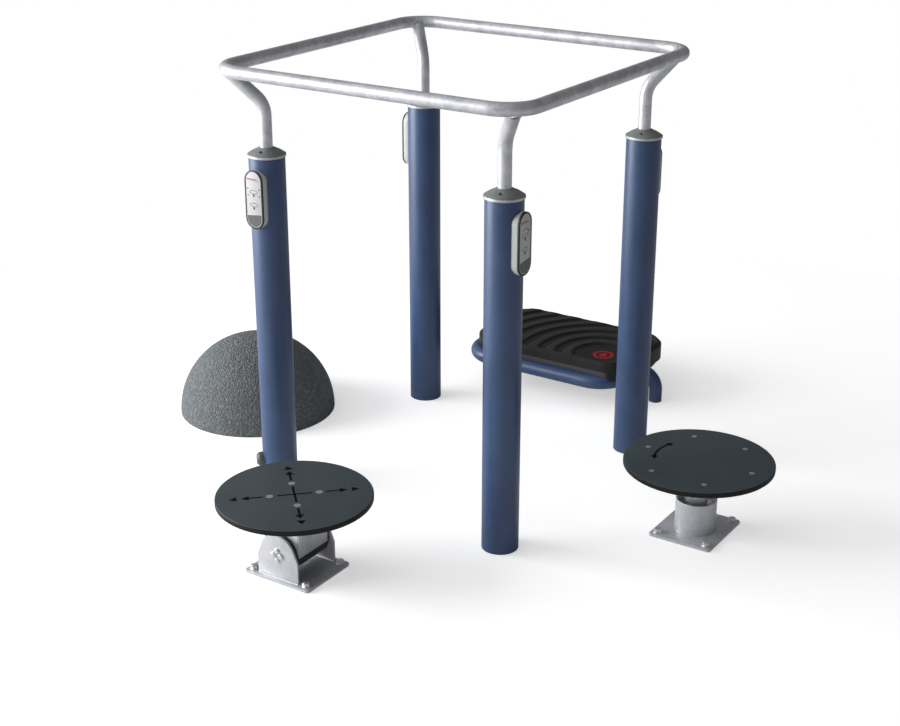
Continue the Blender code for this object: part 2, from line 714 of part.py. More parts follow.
def ear_outline():
    # Straight legs, shoulders, then tangents to the round top about the lower axis
    shoulder = Vector((EAR_HALF_WIDTH, -EAR_SHOULDER_DROP))
    tangent = math.atan2(shoulder.y, shoulder.x) + math.acos(EAR_TOP_RADIUS / shoulder.length)
    foot = PLATE_THICKNESS - WELD_DEPTH
    top = arc_points(0, LOWER_AXIS_HEIGHT, EAR_TOP_RADIUS, tangent, math.pi - tangent, EAR_STEPS)
    shoulder_height = LOWER_AXIS_HEIGHT - EAR_SHOULDER_DROP
    legs_right = [(EAR_HALF_WIDTH, foot), (EAR_HALF_WIDTH, shoulder_height)]
    legs_left = [(-EAR_HALF_WIDTH, shoulder_height), (-EAR_HALF_WIDTH, foot)]
    return legs_right + top + legs_left


def make_tilt_base(station):
    base = make_base_plate("tilt_base", station)
    half_span = EAR_OUTER_SPAN / 2
    for side, outer in (("outer", -half_span + EAR_THICKNESS), ("inner", half_span)):
        ear = flat_mesh("tilt_ear_" + side, [ear_outline()], 0, EAR_THICKNESS, upright((0, outer, 0)))
        weld(base, new_object("tilt_ear_" + side, ear, station))
    reach = half_span + CUT_OVERRUN
    drill(base, "tilt_ear_holes", places_on_circle(LOWER_BOLT_OFFSET, 4, 0),
          LOWER_BOLT_RADIUS + BOLT_CLEARANCE, -reach, reach, station, (0, 0, LOWER_AXIS_HEIGHT),
          (QUARTER_TURN, 0, 0))
    return keep(base, GALVANISED)


def diamond(side):
    corner = side / math.sqrt(2)
    return [(corner, 0), (0, corner), (-corner, 0), (0, -corner)]


def make_core(name, parent, bar, seat, offset, radius, head, turn):
    # A square bar on edge with four studs right through and a nut on each end; it lies along local Z
    side, half_length = bar
    head_flats, head_height = head
    places = places_on_circle(offset, 4, 0)
    reach = seat + head_height / 2
    core = new_object(name, pins_mesh(name, places, radius, -reach, reach, SCREW_STEPS), parent, turn=turn)
    for end, low in (("near", seat), ("far", -seat - head_height)):
        heads = pins_mesh(name + "_heads_" + end, places, head_flats / math.sqrt(3), low,
                          low + head_height, 6)
        weld(core, new_object(name + "_heads_" + end, heads, parent, turn=turn))
    square = cylinder_mesh(name + "_bar", side / math.sqrt(2), -half_length, half_length, 4)
    weld(core, new_object(name + "_bar", square, parent, turn=turn))
    return keep(core, BRIGHT_STEEL)


def make_bush(name, parent, side, outer, half_length, turn):
    # Rubber pressed between the square core and the round housing
    ring = circle_points(0, 0, outer, HOUSING_STEPS)
    hole = diamond(side + 2 * RUN_GAP)
    bush = new_object(name, flat_mesh(name, [ring, hole], -half_length, half_length), parent, turn=turn)
    return keep(bush, RUBBER)


def make_tilt_lower(base_axis, carrier_axis):
    lay = (QUARTER_TURN, 0, 0)
    inner_gap = EAR_OUTER_SPAN / 2 - EAR_THICKNESS - RUN_GAP
    seat = EAR_OUTER_SPAN / 2 + RUN_GAP
    make_core("tilt_lower_core", base_axis, (LOWER_CORE_SIDE, inner_gap), seat, LOWER_BOLT_OFFSET,
              LOWER_BOLT_RADIUS, (LOWER_BOLT_HEAD_FLATS, LOWER_BOLT_HEAD_HEIGHT), lay)
    bore = LOWER_HOUSING_RADIUS - LOWER_HOUSING_WALL
    half = LOWER_HOUSING_LENGTH / 2
    make_bush("tilt_lower_bush", base_axis, LOWER_CORE_SIDE, bore - 2 * RUN_GAP, half, lay)
    profile = [(LOWER_HOUSING_RADIUS, half), (LOWER_HOUSING_RADIUS, -half), (bore, -half), (bore, half)]
    housing = turned_object("tilt_lower_housing", profile, HOUSING_STEPS, carrier_axis, turn=lay, ring=True)
    keep(housing, BLACK_PAINT)


def carrier_side_outline():
    # In Y and Z about the lower axis: a straight skirt with a round ear for the upper core
    upper = UPPER_AXIS_HEIGHT - LOWER_AXIS_HEIGHT
    ear_centre = upper - CARRIER_EAR_DROP
    top = upper + CARRIER_SIDE_RISE
    half = CARRIER_LENGTH / 2
    start = math.asin((top - ear_centre) / CARRIER_EAR_RADIUS)
    ear = arc_points(0, ear_centre, CARRIER_EAR_RADIUS, start, math.pi - start, EAR_STEPS)
    skirt = -CARRIER_SKIRT_DROP
    return [(-half, skirt), (half, skirt), (half, top)] + ear + [(-half, top)]


def make_carrier(carrier_axis):
    # Two side plates and two cross plates, saddled on the lower housing
    outer = CARRIER_WIDTH / 2
    upper = UPPER_AXIS_HEIGHT - LOWER_AXIS_HEIGHT
    outline = carrier_side_outline()
    right = flat_mesh("tilt_carrier", [outline], 0, CARRIER_WALL, sideways((outer - CARRIER_WALL, 0, 0)))
    carrier = new_object("tilt_carrier", right, carrier_axis)
    left = flat_mesh("tilt_carrier_left", [outline], 0, CARRIER_WALL, sideways((-outer, 0, 0)))
    weld(carrier, new_object("tilt_carrier_left", left, carrier_axis))
    reach_x = outer - CARRIER_WALL / 2
    end = CARRIER_LENGTH / 2 - CARRIER_FRONT_INSET
    height = upper - CARRIER_FRONT_DROP
    for side, low_y in (("outer", -end), ("inner", end - CARRIER_WALL)):
        plate = box_mesh("tilt_carrier_" + side, (-reach_x, low_y, WELD_DEPTH),
                         (reach_x, low_y + CARRIER_WALL, height))
        weld(carrier, new_object("tilt_carrier_" + side, plate, carrier_axis))
    saddle = cylinder_mesh("tilt_saddle", LOWER_HOUSING_RADIUS + RUN_GAP, -CARRIER_LENGTH,
                           CARRIER_LENGTH, HOUSING_STEPS)
    cut(carrier, new_object("tilt_saddle", saddle, carrier_axis, turn=(QUARTER_TURN, 0, 0)))
    reach = outer + CUT_OVERRUN
    drill(carrier, "tilt_carrier_holes", places_on_circle(UPPER_BOLT_OFFSET, 4, 0),
          UPPER_BOLT_RADIUS + BOLT_CLEARANCE, -reach, reach, carrier_axis, (0, 0, upper),
          (0, QUARTER_TURN, 0))
    return keep(carrier, GALVANISED)


def make_tilt_upper(carrier_axis, upper_on_carrier, head_axis):
    lay = (0, QUARTER_TURN, 0)
    inner_gap = CARRIER_WIDTH / 2 - CARRIER_WALL - RUN_GAP
    seat = CARRIER_WIDTH / 2 + RUN_GAP
    make_core("tilt_upper_core", upper_on_carrier, (UPPER_CORE_SIDE, inner_gap), seat, UPPER_BOLT_OFFSET,
              UPPER_BOLT_RADIUS, (UPPER_BOLT_HEAD_FLATS, UPPER_BOLT_HEAD_HEIGHT), lay)
    bore = UPPER_HOUSING_RADIUS - UPPER_HOUSING_WALL
    half = UPPER_HOUSING_LENGTH / 2
    make_bush("tilt_upper_bush", upper_on_carrier, UPPER_CORE_SIDE, bore - 2 * RUN_GAP, half, lay)
    plate_top = HEAD_TOP_HEIGHT - UPPER_AXIS_HEIGHT
    plate_low = plate_top - HEAD_PLATE_THICKNESS
    side = HEAD_PLATE_SIDE / 2
    outline = rounded_rectangle(side, side, HEAD_PLATE_CORNER, 3)
    head = new_object("tilt_head", flat_mesh("tilt_head", [outline], plate_low, plate_top), head_axis)
    neck_x = half - HEAD_NECK_SETBACK
    neck_y = UPPER_HOUSING_RADIUS - HEAD_NECK_INSET
    neck = box_mesh("tilt_neck", (-neck_x, -neck_y, 0), (neck_x, neck_y, plate_low + WELD_DEPTH))
    weld(head, new_object("tilt_neck", neck, head_axis))
    barrel = cylinder_mesh("tilt_barrel", UPPER_HOUSING_RADIUS, -half, half, HOUSING_STEPS)
    weld(head, new_object("tilt_barrel", barrel, head_axis, turn=lay))
    bore_mesh = cylinder_mesh("tilt_barrel_bore", bore, -half - CUT_OVERRUN, half + CUT_OVERRUN,
                              HOUSING_STEPS)
    cut(head, new_object("tilt_barrel_bore", bore_mesh, head_axis, turn=lay))
    drill(head, "tilt_head_holes", places_on_circle(TILT_SCREW_CIRCLE, TILT_SCREWS, QUARTER_TURN / 2),
          SCREW_SHANK_RADIUS + BOLT_CLEARANCE, plate_low - CUT_OVERRUN, plate_top + CUT_OVERRUN, head_axis)
    return keep(head, GALVANISED)


def make_tilt_station(centre):
    station = new_empty("tilt_station", (0, -STATION_OFFSET, 0), parent=centre)
    make_tilt_base(station)
    make_anchors("tilt", station)
    lower_height = (0, 0, LOWER_AXIS_HEIGHT)
    base_axis = new_empty("tilt_core_axis", lower_height, parent=station)
    carrier_axis = new_empty("tilt_lower_axis", lower_height, parent=station)
    rise = (0, 0, UPPER_AXIS_HEIGHT - LOWER_AXIS_HEIGHT)
    upper_on_carrier = new_empty("tilt_upper_core_axis", rise, parent=carrier_axis)
    head_axis = new_empty("tilt_upper_axis", rise, parent=carrier_axis)
    make_tilt_lower(base_axis, carrier_axis)
    make_carrier(carrier_axis)
    make_tilt_upper(carrier_axis, upper_on_carrier, head_axis)
    top = TILT_TOP_HEIGHT - UPPER_AXIS_HEIGHT
    make_board("tilt_board", head_axis, (0, 0, top), TILT_SCREW_HEAD_RADIUS, TILT_SCREW_CIRCLE,
               TILT_SCREWS, QUARTER_TURN / 2)
    make_screws("tilt", head_axis, top, BOARD_THICKNESS + HEAD_PLATE_THICKNESS, TILT_SCREW_HEAD_RADIUS,
                TILT_SCREW_CIRCLE, TILT_SCREWS, QUARTER_TURN / 2)


# Spinning disc

def make_pedestal(station):
    base = make_base_plate("spin_base", station)
    bore = PEDESTAL_RADIUS - PEDESTAL_WALL
    foot = PLATE_THICKNESS - WELD_DEPTH
    profile = [(PEDESTAL_RADIUS, PEDESTAL_HEIGHT), (PEDESTAL_RADIUS, foot), (bore, foot),
               (bore, PEDESTAL_HEIGHT)]
    weld(base, turned_object("spin_tube", profile, SPIN_STEPS, station, ring=True))
    return keep(base, GALVANISED)


def make_bearing(station):
    # A flanged bearing block in the tube: a thick ring round the spindle with a raised boss
    outer = PEDESTAL_RADIUS - PEDESTAL_WALL - RUN_GAP
    bore = SPINDLE_RADIUS + RUN_GAP
    boss_top = PEDESTAL_HEIGHT - BEARING_TOP_DROP
    top = boss_top - BEARING_FLANGE_STEP
    bottom = boss_top - BEARING_HEIGHT
    profile = [
        (bore, boss_top),
        (BEARING_BOSS_RADIUS, boss_top),
        (BEARING_BOSS_RADIUS, top),
        (outer, top),
        (outer, bottom),
        (bore, bottom),
    ]
    return keep(turned_object("spin_bearing", profile, SPIN_STEPS, station, ring=True), BEARING_STEEL)


def make_spindle(axis):
    # Shaft, collar and flange turned as one, with screw holes in the flange
    flange_top = SPIN_TOP_HEIGHT - BOARD_THICKNESS - RUN_GAP
    flange_low = flange_top - SPIN_FLANGE_THICKNESS
    boss_top = PEDESTAL_HEIGHT - BEARING_TOP_DROP
    collar_low = boss_top + SPINDLE_COLLAR_GAP
    shaft_low = boss_top - BEARING_HEIGHT - BEARING_FLANGE_STEP
    profile = [
        (0, flange_top),
        (SPIN_FLANGE_RADIUS, flange_top),
        (SPIN_FLANGE_RADIUS, flange_low),
        (SPINDLE_COLLAR_RADIUS, flange_low),
        (SPINDLE_COLLAR_RADIUS, collar_low),
        (SPINDLE_RADIUS, collar_low),
        (SPINDLE_RADIUS, shaft_low),
        (0, shaft_low),
    ]
    spindle = turned_object("spin_spindle", profile, SPIN_STEPS, axis)
    drill(spindle, "spin_flange_holes", places_on_circle(SPIN_SCREW_CIRCLE, SPIN_SCREWS, 0),
          SCREW_SHANK_RADIUS + BOLT_CLEARANCE, flange_low - CUT_OVERRUN, flange_top + CUT_OVERRUN, axis)
    return keep(spindle, GALVANISED)


def make_spin_station(centre):
    # The plate's long side lies along the handrail's side, so the station takes a quarter turn
    station = new_empty("spin_station", (STATION_OFFSET, 0, 0), QUARTER_TURN, centre)
    make_pedestal(station)
    make_anchors("spin", station)
    make_bearing(station)
    axis = new_empty("spin_axis", (STATION_OFFSET, 0, 0), parent=centre)
    make_spindle(axis)
    make_board("spin_board", axis, (0, 0, SPIN_TOP_HEIGHT), SPIN_SCREW_HEAD_RADIUS, SPIN_SCREW_CIRCLE,
               SPIN_SCREWS, 0)
    make_screws("spin", axis, SPIN_TOP_HEIGHT, BOARD_THICKNESS + SPIN_FLANGE_THICKNESS,
                SPIN_SCREW_HEAD_RADIUS, SPIN_SCREW_CIRCLE, SPIN_SCREWS, 0)


# Step deck

def loop_points():
    half = (STEP_LOOP_LEFT + STEP_LOOP_RIGHT) / 2
    shift = (STEP_LOOP_RIGHT - STEP_LOOP_LEFT) / 2
    outline = rounded_rectangle(half, STEP_LOOP_HALF_WIDTH, STEP_LOOP_CORNER, CORNER_STEPS + 2)
    return [(x + shift, y, STEP_TUBE_HEIGHT) for x, y in outline]


def outer_leg_points():
    # Out from the loop's right end and down to the ground
    bend_x = STEP_LEG_REACH - STEP_LEG_BEND
    bend_z = STEP_TUBE_HEIGHT - STEP_LEG_BEND
    points = [(STEP_LOOP_RIGHT, 0, STEP_TUBE_HEIGHT)]
    for x, z in arc_points(bend_x, bend_z, STEP_LEG_BEND, QUARTER_TURN, 0, CORNER_STEPS):
        points.append((x, 0, z))
    points.append((STEP_LEG_REACH, 0, 0))
    return points


def cross_tube_points():
    return [(-STEP_CROSS_OFFSET, -STEP_LOOP_HALF_WIDTH, STEP_TUBE_HEIGHT),
            (-STEP_CROSS_OFFSET, STEP_LOOP_HALF_WIDTH, STEP_TUBE_HEIGHT)]


def make_step_frame(station):
    frame = new_object("step_frame", tube_mesh("step_frame", loop_points(), STEP_TUBE_RADIUS, closed=True),
                       station)
    weld(frame, new_object("step_outer_leg", tube_mesh("step_outer_leg", outer_leg_points(),
                                                       STEP_LEG_RADIUS), station))
    cross = tube_mesh("step_cross_tube", cross_tube_points(), STEP_CROSS_RADIUS)
    weld(frame, new_object("step_cross_tube", cross, station))
    inner_leg_points = [(-STEP_CROSS_OFFSET, 0, STEP_TUBE_HEIGHT), (-STEP_CROSS_OFFSET, 0, 0)]
    inner_leg = tube_mesh("step_inner_leg", inner_leg_points, STEP_INNER_LEG_RADIUS)
    weld(frame, new_object("step_inner_leg", inner_leg, station))
    return keep(frame, BLUE_PAINT)


def make_deck(station):
    # A moulded rubber tray: sloped edge, seat for the tube below, arc grooves on top
    body = flat_mesh("step_deck", [rounded_rectangle(DECK_HALF_LENGTH, DECK_HALF_WIDTH, DECK_CORNER,
                                                     CORNER_STEPS + 2)],
                     DECK_BOTTOM_HEIGHT, DECK_TOP_HEIGHT)
    slope_edge(body)
    deck = new_object("step_deck", body, station)
    seat = tube_mesh("step_seat", loop_points(), STEP_TUBE_RADIUS + RUN_GAP, closed=True)
    cut(deck, new_object("step_seat", seat, station))
    leg_seat = tube_mesh("step_leg_seat", outer_leg_points(), STEP_LEG_RADIUS + RUN_GAP)
    cut(deck, new_object("step_leg_seat", leg_seat, station))
    cross_seat = tube_mesh("step_cross_seat", cross_tube_points(), STEP_CROSS_RADIUS + RUN_GAP)
    cut(deck, new_object("step_cross_seat", cross_seat, station))
    cut(deck, make_grooves(station))
    return keep(deck, DECK_RUBBER)


def slope_edge(mesh):
    # Bevels the top outline only
    work = bmesh.new()
    work.from_mesh(mesh)
    rim = [edge for edge in work.edges
           if all(vert.co.z > DECK_TOP_HEIGHT - WELD_DEPTH for vert in edge.verts)
           and len({round(face.normal.z) for face in edge.link_faces}) == 2]
    bmesh.ops.bevel(work, geom=rim, offset=DECK_EDGE_SLOPE, offset_type="OFFSET", affect="EDGES",
                    segments=1, profile=0.5, material=-1, clamp_overlap=True)
    work.to_mesh(mesh)
    work.free()


def make_grooves(station):
    # Turned rings with sloped sides, kept to the field inside the deck's plain border
    profiles = []
    rise = CUT_OVERRUN / GROOVE_DEPTH
    half_low = GROOVE_WIDTH / 4
    half_high = half_low + (GROOVE_WIDTH / 4) * (1 + rise)
    top = DECK_TOP_HEIGHT + CUT_OVERRUN
    low = DECK_TOP_HEIGHT - GROOVE_DEPTH
    for index in range(GROOVE_COUNT):
        radius = GROOVE_FIRST_RADIUS + index * GROOVE_PITCH
        profiles.append([(radius + half_high, top), (radius + half_low, low),
                         (radius - half_low, low), (radius - half_high, top)])
    grooves = turned_set("deck_grooves", profiles, GROOVE_STEPS, station,
                         (GROOVE_CENTRE_X, GROOVE_CENTRE_Y, 0))
    field_outline = rounded_rectangle(DECK_HALF_LENGTH - DECK_FIELD_BORDER,
                                      DECK_HALF_WIDTH - DECK_FIELD_BORDER,
                                      DECK_CORNER - DECK_FIELD_BORDER)
    field = flat_mesh("deck_field", [field_outline], DECK_BOTTOM_HEIGHT, top + CUT_OVERRUN)
    combine(grooves, new_object("deck_field", field, station), "INTERSECT")
    return grooves


def make_step_station(centre):
    station = new_empty("step_station", (STEP_CENTRE_X, STEP_CENTRE_Y, 0), parent=centre)
    make_step_frame(station)
    make_deck(station)


# Dome

def make_dome(centre):
    profile = []
    for index in range(DOME_RINGS + 1):
        angle = QUARTER_TURN * (1 - index / DOME_RINGS)
        profile.append((DOME_RADIUS * math.cos(angle), DOME_RADIUS * math.sin(angle)))
    profile[0] = (0, DOME_RADIUS)
    profile.append((0, 0))
    dome = turned_object("dome", profile, DOME_STEPS, centre, (-DOME_OFFSET, 0, 0))
    return keep(dome, GRANULATE)


def build():
    centre = new_empty("frame_centre", (-MIDDLE_X, -MIDDLE_Y, 0))
    make_rail(centre)
    for quarter, name in enumerate(("left", "front", "right", "back")):
        corner = new_empty("corner_" + name, (0, 0, 0), quarter * QUARTER_TURN, centre)
        make_post(name, corner)
        make_cap(name, corner)
        make_riser(name, corner, centre)
        make_sign(name, corner)
        if name == "left":
            make_knob(corner)
    make_tilt_station(centre)
    make_spin_station(centre)
    make_step_station(centre)
    make_dome(centre)


build()
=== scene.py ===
import math

import bmesh
import bpy
from mathutils import Matrix, Vector


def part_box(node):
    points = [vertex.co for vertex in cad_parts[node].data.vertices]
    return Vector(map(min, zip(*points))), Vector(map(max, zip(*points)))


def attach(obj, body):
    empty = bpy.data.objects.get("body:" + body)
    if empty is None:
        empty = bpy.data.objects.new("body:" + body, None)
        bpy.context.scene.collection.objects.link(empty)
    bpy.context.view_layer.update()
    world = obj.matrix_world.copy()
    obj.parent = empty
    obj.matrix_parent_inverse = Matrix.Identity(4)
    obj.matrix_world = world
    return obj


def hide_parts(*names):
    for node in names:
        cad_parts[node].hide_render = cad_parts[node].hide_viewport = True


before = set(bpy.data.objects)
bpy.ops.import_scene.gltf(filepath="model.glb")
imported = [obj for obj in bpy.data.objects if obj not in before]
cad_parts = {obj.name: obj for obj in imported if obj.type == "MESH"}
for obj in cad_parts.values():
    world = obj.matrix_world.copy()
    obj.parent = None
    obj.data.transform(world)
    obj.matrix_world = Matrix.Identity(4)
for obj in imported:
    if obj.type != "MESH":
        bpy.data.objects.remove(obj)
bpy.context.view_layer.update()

mm = 0.001
quarter = math.pi / 2
fullTurn = 2 * math.pi
mergeGap = 0.005 * mm
rimAngle = math.radians(50)
roundShare = 0.45
upZ = Vector((0, 0, 1))
cornerNames = ("left", "front", "right", "back")


# where things are, read from the CAD nodes

def nodeBox(node):
    low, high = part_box(node)
    return Vector(low), Vector(high)


def nodeCentre(node):
    low, high = nodeBox(node)
    return (low + high) / 2


def nodeSize(node):
    low, high = nodeBox(node)
    return high - low


def moveTo(x, y, z=0):
    return Matrix.Translation((x, y, z))


def turnBy(angle, axis="Z"):
    return Matrix.Rotation(angle, 4, axis)


def pointAt(axis):
    # turns a shape's own Z towards an axis
    return upZ.rotation_difference(axis).to_matrix().to_4x4()


def footOf(node):
    # the place on the ground under a node's middle
    centre = nodeCentre(node)
    return moveTo(centre.x, centre.y)


frameCentre = nodeCentre("handrail")
frameCentre.z = 0
tiltFoot = footOf("tilt_base")
spinFoot = footOf("spin_spindle")
stepFoot = footOf("step_deck")


# small mesh helpers

def moved(work, matrix):
    bmesh.ops.transform(work, matrix=matrix, verts=work.verts)
    return work


def cleaned(work):
    # merges doubles, then turns every face outwards
    bmesh.ops.remove_doubles(work, verts=work.verts, dist=mergeGap)
    bmesh.ops.recalc_face_normals(work, faces=work.faces)
    return work


def toMesh(work, name):
    mesh = bpy.data.meshes.new(name)
    work.to_mesh(mesh)
    work.free()
    return mesh


def addObject(name, data):
    item = bpy.data.objects.new(name, data)
    bpy.context.scene.collection.objects.link(item)
    return item


def fromObject(item):
    # what an object's curve or modifiers make, as a bmesh
    bpy.context.view_layer.update()
    mesh = bpy.data.meshes.new_from_object(item.evaluated_get(bpy.context.evaluated_depsgraph_get()))
    work = bmesh.new()
    work.from_mesh(mesh)
    bpy.data.meshes.remove(mesh)
    return work


def finishPiece(name, work, look, nodes=(), body="frame", place=Matrix(), sharp=35):
    slot, material = finish[look]
    mesh = toMesh(cleaned(moved(work, place)), name)
    mesh.shade_smooth()
    mesh.set_sharp_from_angle(angle=math.radians(sharp))
    mesh.materials.append(material)
    piece = addObject(name, mesh)
    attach(piece, body)
    if nodes:
        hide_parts(*nodes)


def addPart(work, part, matrix=Matrix()):
    # adds one bmesh to another and frees it
    mesh = toMesh(moved(part, matrix), "part")
    work.from_mesh(mesh)
    bpy.data.meshes.remove(mesh)


def vertsIn(result):
    return [item for item in result["geom"] if isinstance(item, bmesh.types.BMVert)]


def bevelEdges(work, edges, offset, segments=2, clamp=False):
    bmesh.ops.bevel(work, geom=edges, offset=offset, affect="EDGES", segments=segments,
                    profile=0.5, material=-1, clamp_overlap=clamp)


def lathe(profile, steps=64, closed=False):
    # spins a profile of (radius, height) round Z
    work = bmesh.new()
    verts = [work.verts.new((radius, 0, height)) for radius, height in profile]
    for first, second in zip(verts, verts[1:]):
        work.edges.new((first, second))
    if closed:
        work.edges.new((verts[-1], verts[0]))
    bmesh.ops.spin(work, geom=work.verts[:] + work.edges[:], cent=(0, 0, 0), axis=(0, 0, 1),
                   angle=fullTurn, steps=steps, use_merge=True)
    return cleaned(work)


def turned(profile, edge, steps, rounds=3, closed=False):
    # a lathe shape whose corners are rounded first
    rounded = []
    for index, point in enumerate(profile):
        here = Vector(point)
        if not closed and index in (0, len(profile) - 1):
            rounded.append(tuple(here))
            continue
        before = Vector(profile[index - 1]) - here
        after = Vector(profile[(index + 1) % len(profile)]) - here
        reach = min(edge, before.length * roundShare, after.length * roundShare)
        start = here + before.normalized() * reach
        end = here + after.normalized() * reach
        for step in range(rounds + 1):
            share = step / rounds
            rounded.append(tuple(start.lerp(here, share).lerp(here.lerp(end, share), share)))
    return lathe(rounded, steps, closed)


def pipe(outer, inner, low, high, edge, steps, rounds=3):
    wall = [(outer, high), (outer, low), (inner, low), (inner, high)]
    return turned(wall, edge, steps, rounds, closed=True)


def cylinder(radius, low, high, steps):
    return lathe([(0, high), (radius, high), (radius, low), (0, low)], steps)


def slab(outline, low, high, bevel=0, segments=2):
    # a flat plate from an outline, with all its sharp edges rounded
    work = bmesh.new()
    face = work.faces.new([work.verts.new((x, y, low)) for x, y in outline])
    raised = vertsIn(bmesh.ops.extrude_face_region(work, geom=[face]))
    bmesh.ops.translate(work, vec=(0, 0, high - low), verts=raised)
    bmesh.ops.recalc_face_normals(work, faces=work.faces)
    if bevel:
        rims = [edge for edge in work.edges if edge.calc_face_angle(0) > rimAngle]
        bevelEdges(work, rims, bevel, segments, clamp=True)
    return work


def sweep(points, radius, closed=False, sides=8):
    # a round tube along points, made as a curve and merged into a closed mesh
    curve = bpy.data.curves.new("sweep", "CURVE")
    curve.dimensions = "3D"
    curve.bevel_depth = radius
    curve.bevel_resolution = sides
    curve.use_fill_caps = not closed
    spline = curve.splines.new("POLY")
    spline.points.add(len(points) - 1)
    for point, place in zip(spline.points, points):
        point.co = (*place, 1)
    spline.use_cyclic_u = closed
    guide = addObject("sweep", curve)
    work = fromObject(guide)
    bpy.data.objects.remove(guide, do_unlink=True)
    bpy.data.curves.remove(curve)
    return cleaned(work)


def bead(points, radius, closed=True):
    # a weld bead: a tube whose ripples come from small changes along its path
    ripple = {"height": 0.12 * radius, "pace": 2.4}
    rippled = [(x, y, z + ripple["height"] * math.sin(index * ripple["pace"]))
               for index, (x, y, z) in enumerate(points)]
    return sweep(rippled, radius, closed, sides=2)


def carved(work, cutter, operation="DIFFERENCE"):
    # cuts one closed bmesh with another and gives back the result
    items = []
    for part in (work, cutter):
        bmesh.ops.recalc_face_normals(part, faces=part.faces)
        items.append(addObject("loose", toMesh(part, "loose")))
    cut = items[0].modifiers.new("carve", "BOOLEAN")
    cut.operation = operation
    cut.solver = "EXACT"
    cut.object = items[1]
    result = fromObject(items[0])
    for item in items:
        bpy.data.objects.remove(item, do_unlink=True)
    return result


def arcPoints(centreX, centreY, radius, start, end, steps):
    angles = (start + (end - start) * index / steps for index in range(steps + 1))
    return [(centreX + radius * math.cos(angle), centreY + radius * math.sin(angle)) for angle in angles]


def circle(radius, steps):
    return arcPoints(0, 0, radius, 0, fullTurn, steps)[:-1]


def rectangle(left, low, right, high):
    return [(left, low), (right, low), (right, high), (left, high)]


def roundedRectangle(halfX, halfY, corner, steps=8):
    points = []
    for index, (sideX, sideY) in enumerate(((1, 1), (-1, 1), (-1, -1), (1, -1))):
        start = index * quarter
        points += arcPoints(sideX * (halfX - corner), sideY * (halfY - corner), corner,
                            start, start + quarter, steps)
    return points


def capsule(width, height, steps=20):
    reach = (height - width) / 2
    top = arcPoints(0, reach, width / 2, 0, math.pi, steps)
    return top + arcPoints(0, -reach, width / 2, math.pi, fullTurn, steps)


def ringBand(radiusX, radiusY, width, centreY, low, high, start=0.0, end=fullTurn, steps=40):
    # a flat band along part of an ellipse
    arc = arcPoints(0, 0, 1, start, end, steps)
    outer = [(radiusX * x, centreY + radiusY * y) for x, y in arc]
    inner = [((radiusX - width) * x, centreY + (radiusY - width) * y) for x, y in reversed(arc)]
    return slab(outer + inner, low, high)


def arrowHead(tipX, tipY, angle, length, width, low, high):
    side = Vector((-math.sin(angle), math.cos(angle)))
    back = Vector((tipX, tipY)) - Vector((math.cos(angle), math.sin(angle))) * length
    return slab([(tipX, tipY), tuple(back + side * width / 2), tuple(back - side * width / 2)], low, high)


def hexBolt(flats, headHeight, washerRadius, washerHeight, below=0):
    # washer, chamfered hexagon head and a short stub of thread under the washer
    bolt = {"washerEdge": 0.4 * mm, "chamfer": 0.5 * mm, "crownEdge": 0.3 * mm, "crownWide": 0.46 * flats,
            "crownFlat": 0.4 * flats, "crownProud": 0.08 * headHeight, "crownSunk": -0.1 * headHeight,
            "shank": 0.3 * flats, "shankTop": 0.2 * mm}
    work = bmesh.new()
    washer = [(0, washerHeight), (washerRadius, washerHeight), (washerRadius, 0), (0, 0)]
    addPart(work, turned(washer, bolt["washerEdge"], steps=40))
    head = bmesh.new()
    bmesh.ops.create_cone(head, cap_ends=True, segments=6, radius1=flats / math.sqrt(3),
                          radius2=flats / math.sqrt(3), depth=headHeight)
    bevelEdges(head, head.edges[:], bolt["chamfer"])
    addPart(work, head, moveTo(0, 0, washerHeight + headHeight / 2))
    crown = [(0, bolt["crownProud"]), (bolt["crownFlat"], bolt["crownProud"]),
             (bolt["crownWide"], bolt["crownSunk"]), (0, bolt["crownSunk"])]
    addPart(work, turned(crown, bolt["crownEdge"], steps=36), moveTo(0, 0, washerHeight + headHeight))
    if below:
        addPart(work, cylinder(bolt["shank"], -below, bolt["shankTop"], steps=20))
    return work


# shader helpers

def addNode(tree, kind, inputs=None, **settings):
    node = tree.nodes.new("ShaderNode" + kind)
    for key, value in settings.items():
        setattr(node, key, value)
    for key, value in (inputs or {}).items():
        if hasattr(value, "is_output"):
            tree.links.new(value, node.inputs[key])
        else:
            node.inputs[key].default_value = value
    return node.outputs


def addMath(tree, operation, first, second=0.0, clamp=False):
    return addNode(tree, "Math", {0: first, 1: second}, operation=operation, use_clamp=clamp)[0]


def scaled(tree, value, share, added=0.0):
    return addNode(tree, "Math", {0: value, 1: share, 2: added}, operation="MULTIPLY_ADD")[0]


def addVector(tree, operation, first, second=(0, 0, 0)):
    return addNode(tree, "VectorMath", {0: first, 1: second}, operation=operation)


def addRange(tree, value, fromLow, fromHigh, toLow=0.0, toHigh=1.0):
    return addNode(tree, "MapRange", {0: value, 1: fromLow, 2: fromHigh, 3: toLow, 4: toHigh})[0]


def addMix(tree, factor, first, second):
    return addNode(tree, "Mix", {0: factor, 6: first, 7: second}, data_type="RGBA")[2]


def addNoise(tree, where, scale, detail, roughness=0.5):
    return addNode(tree, "TexNoise", {"Vector": where, "Scale": scale, "Detail": detail,
                                      "Roughness": roughness})


def addCells(tree, where, scale, feature="F1"):
    return addNode(tree, "TexVoronoi", {"Vector": where, "Scale": scale}, feature=feature)


def separate(tree, value, index, kind="XYZ"):
    return addNode(tree, "Separate" + kind, {0: value})[index]


def pushed(tree, where, scale, detail, reach):
    # a place pushed about by noise, so that a pattern loses its straight lines
    warp = addNoise(tree, where, scale, detail)[1]
    return addVector(tree, "ADD", where, addVector(tree, "MULTIPLY", warp, (reach, reach, reach))[0])[0]


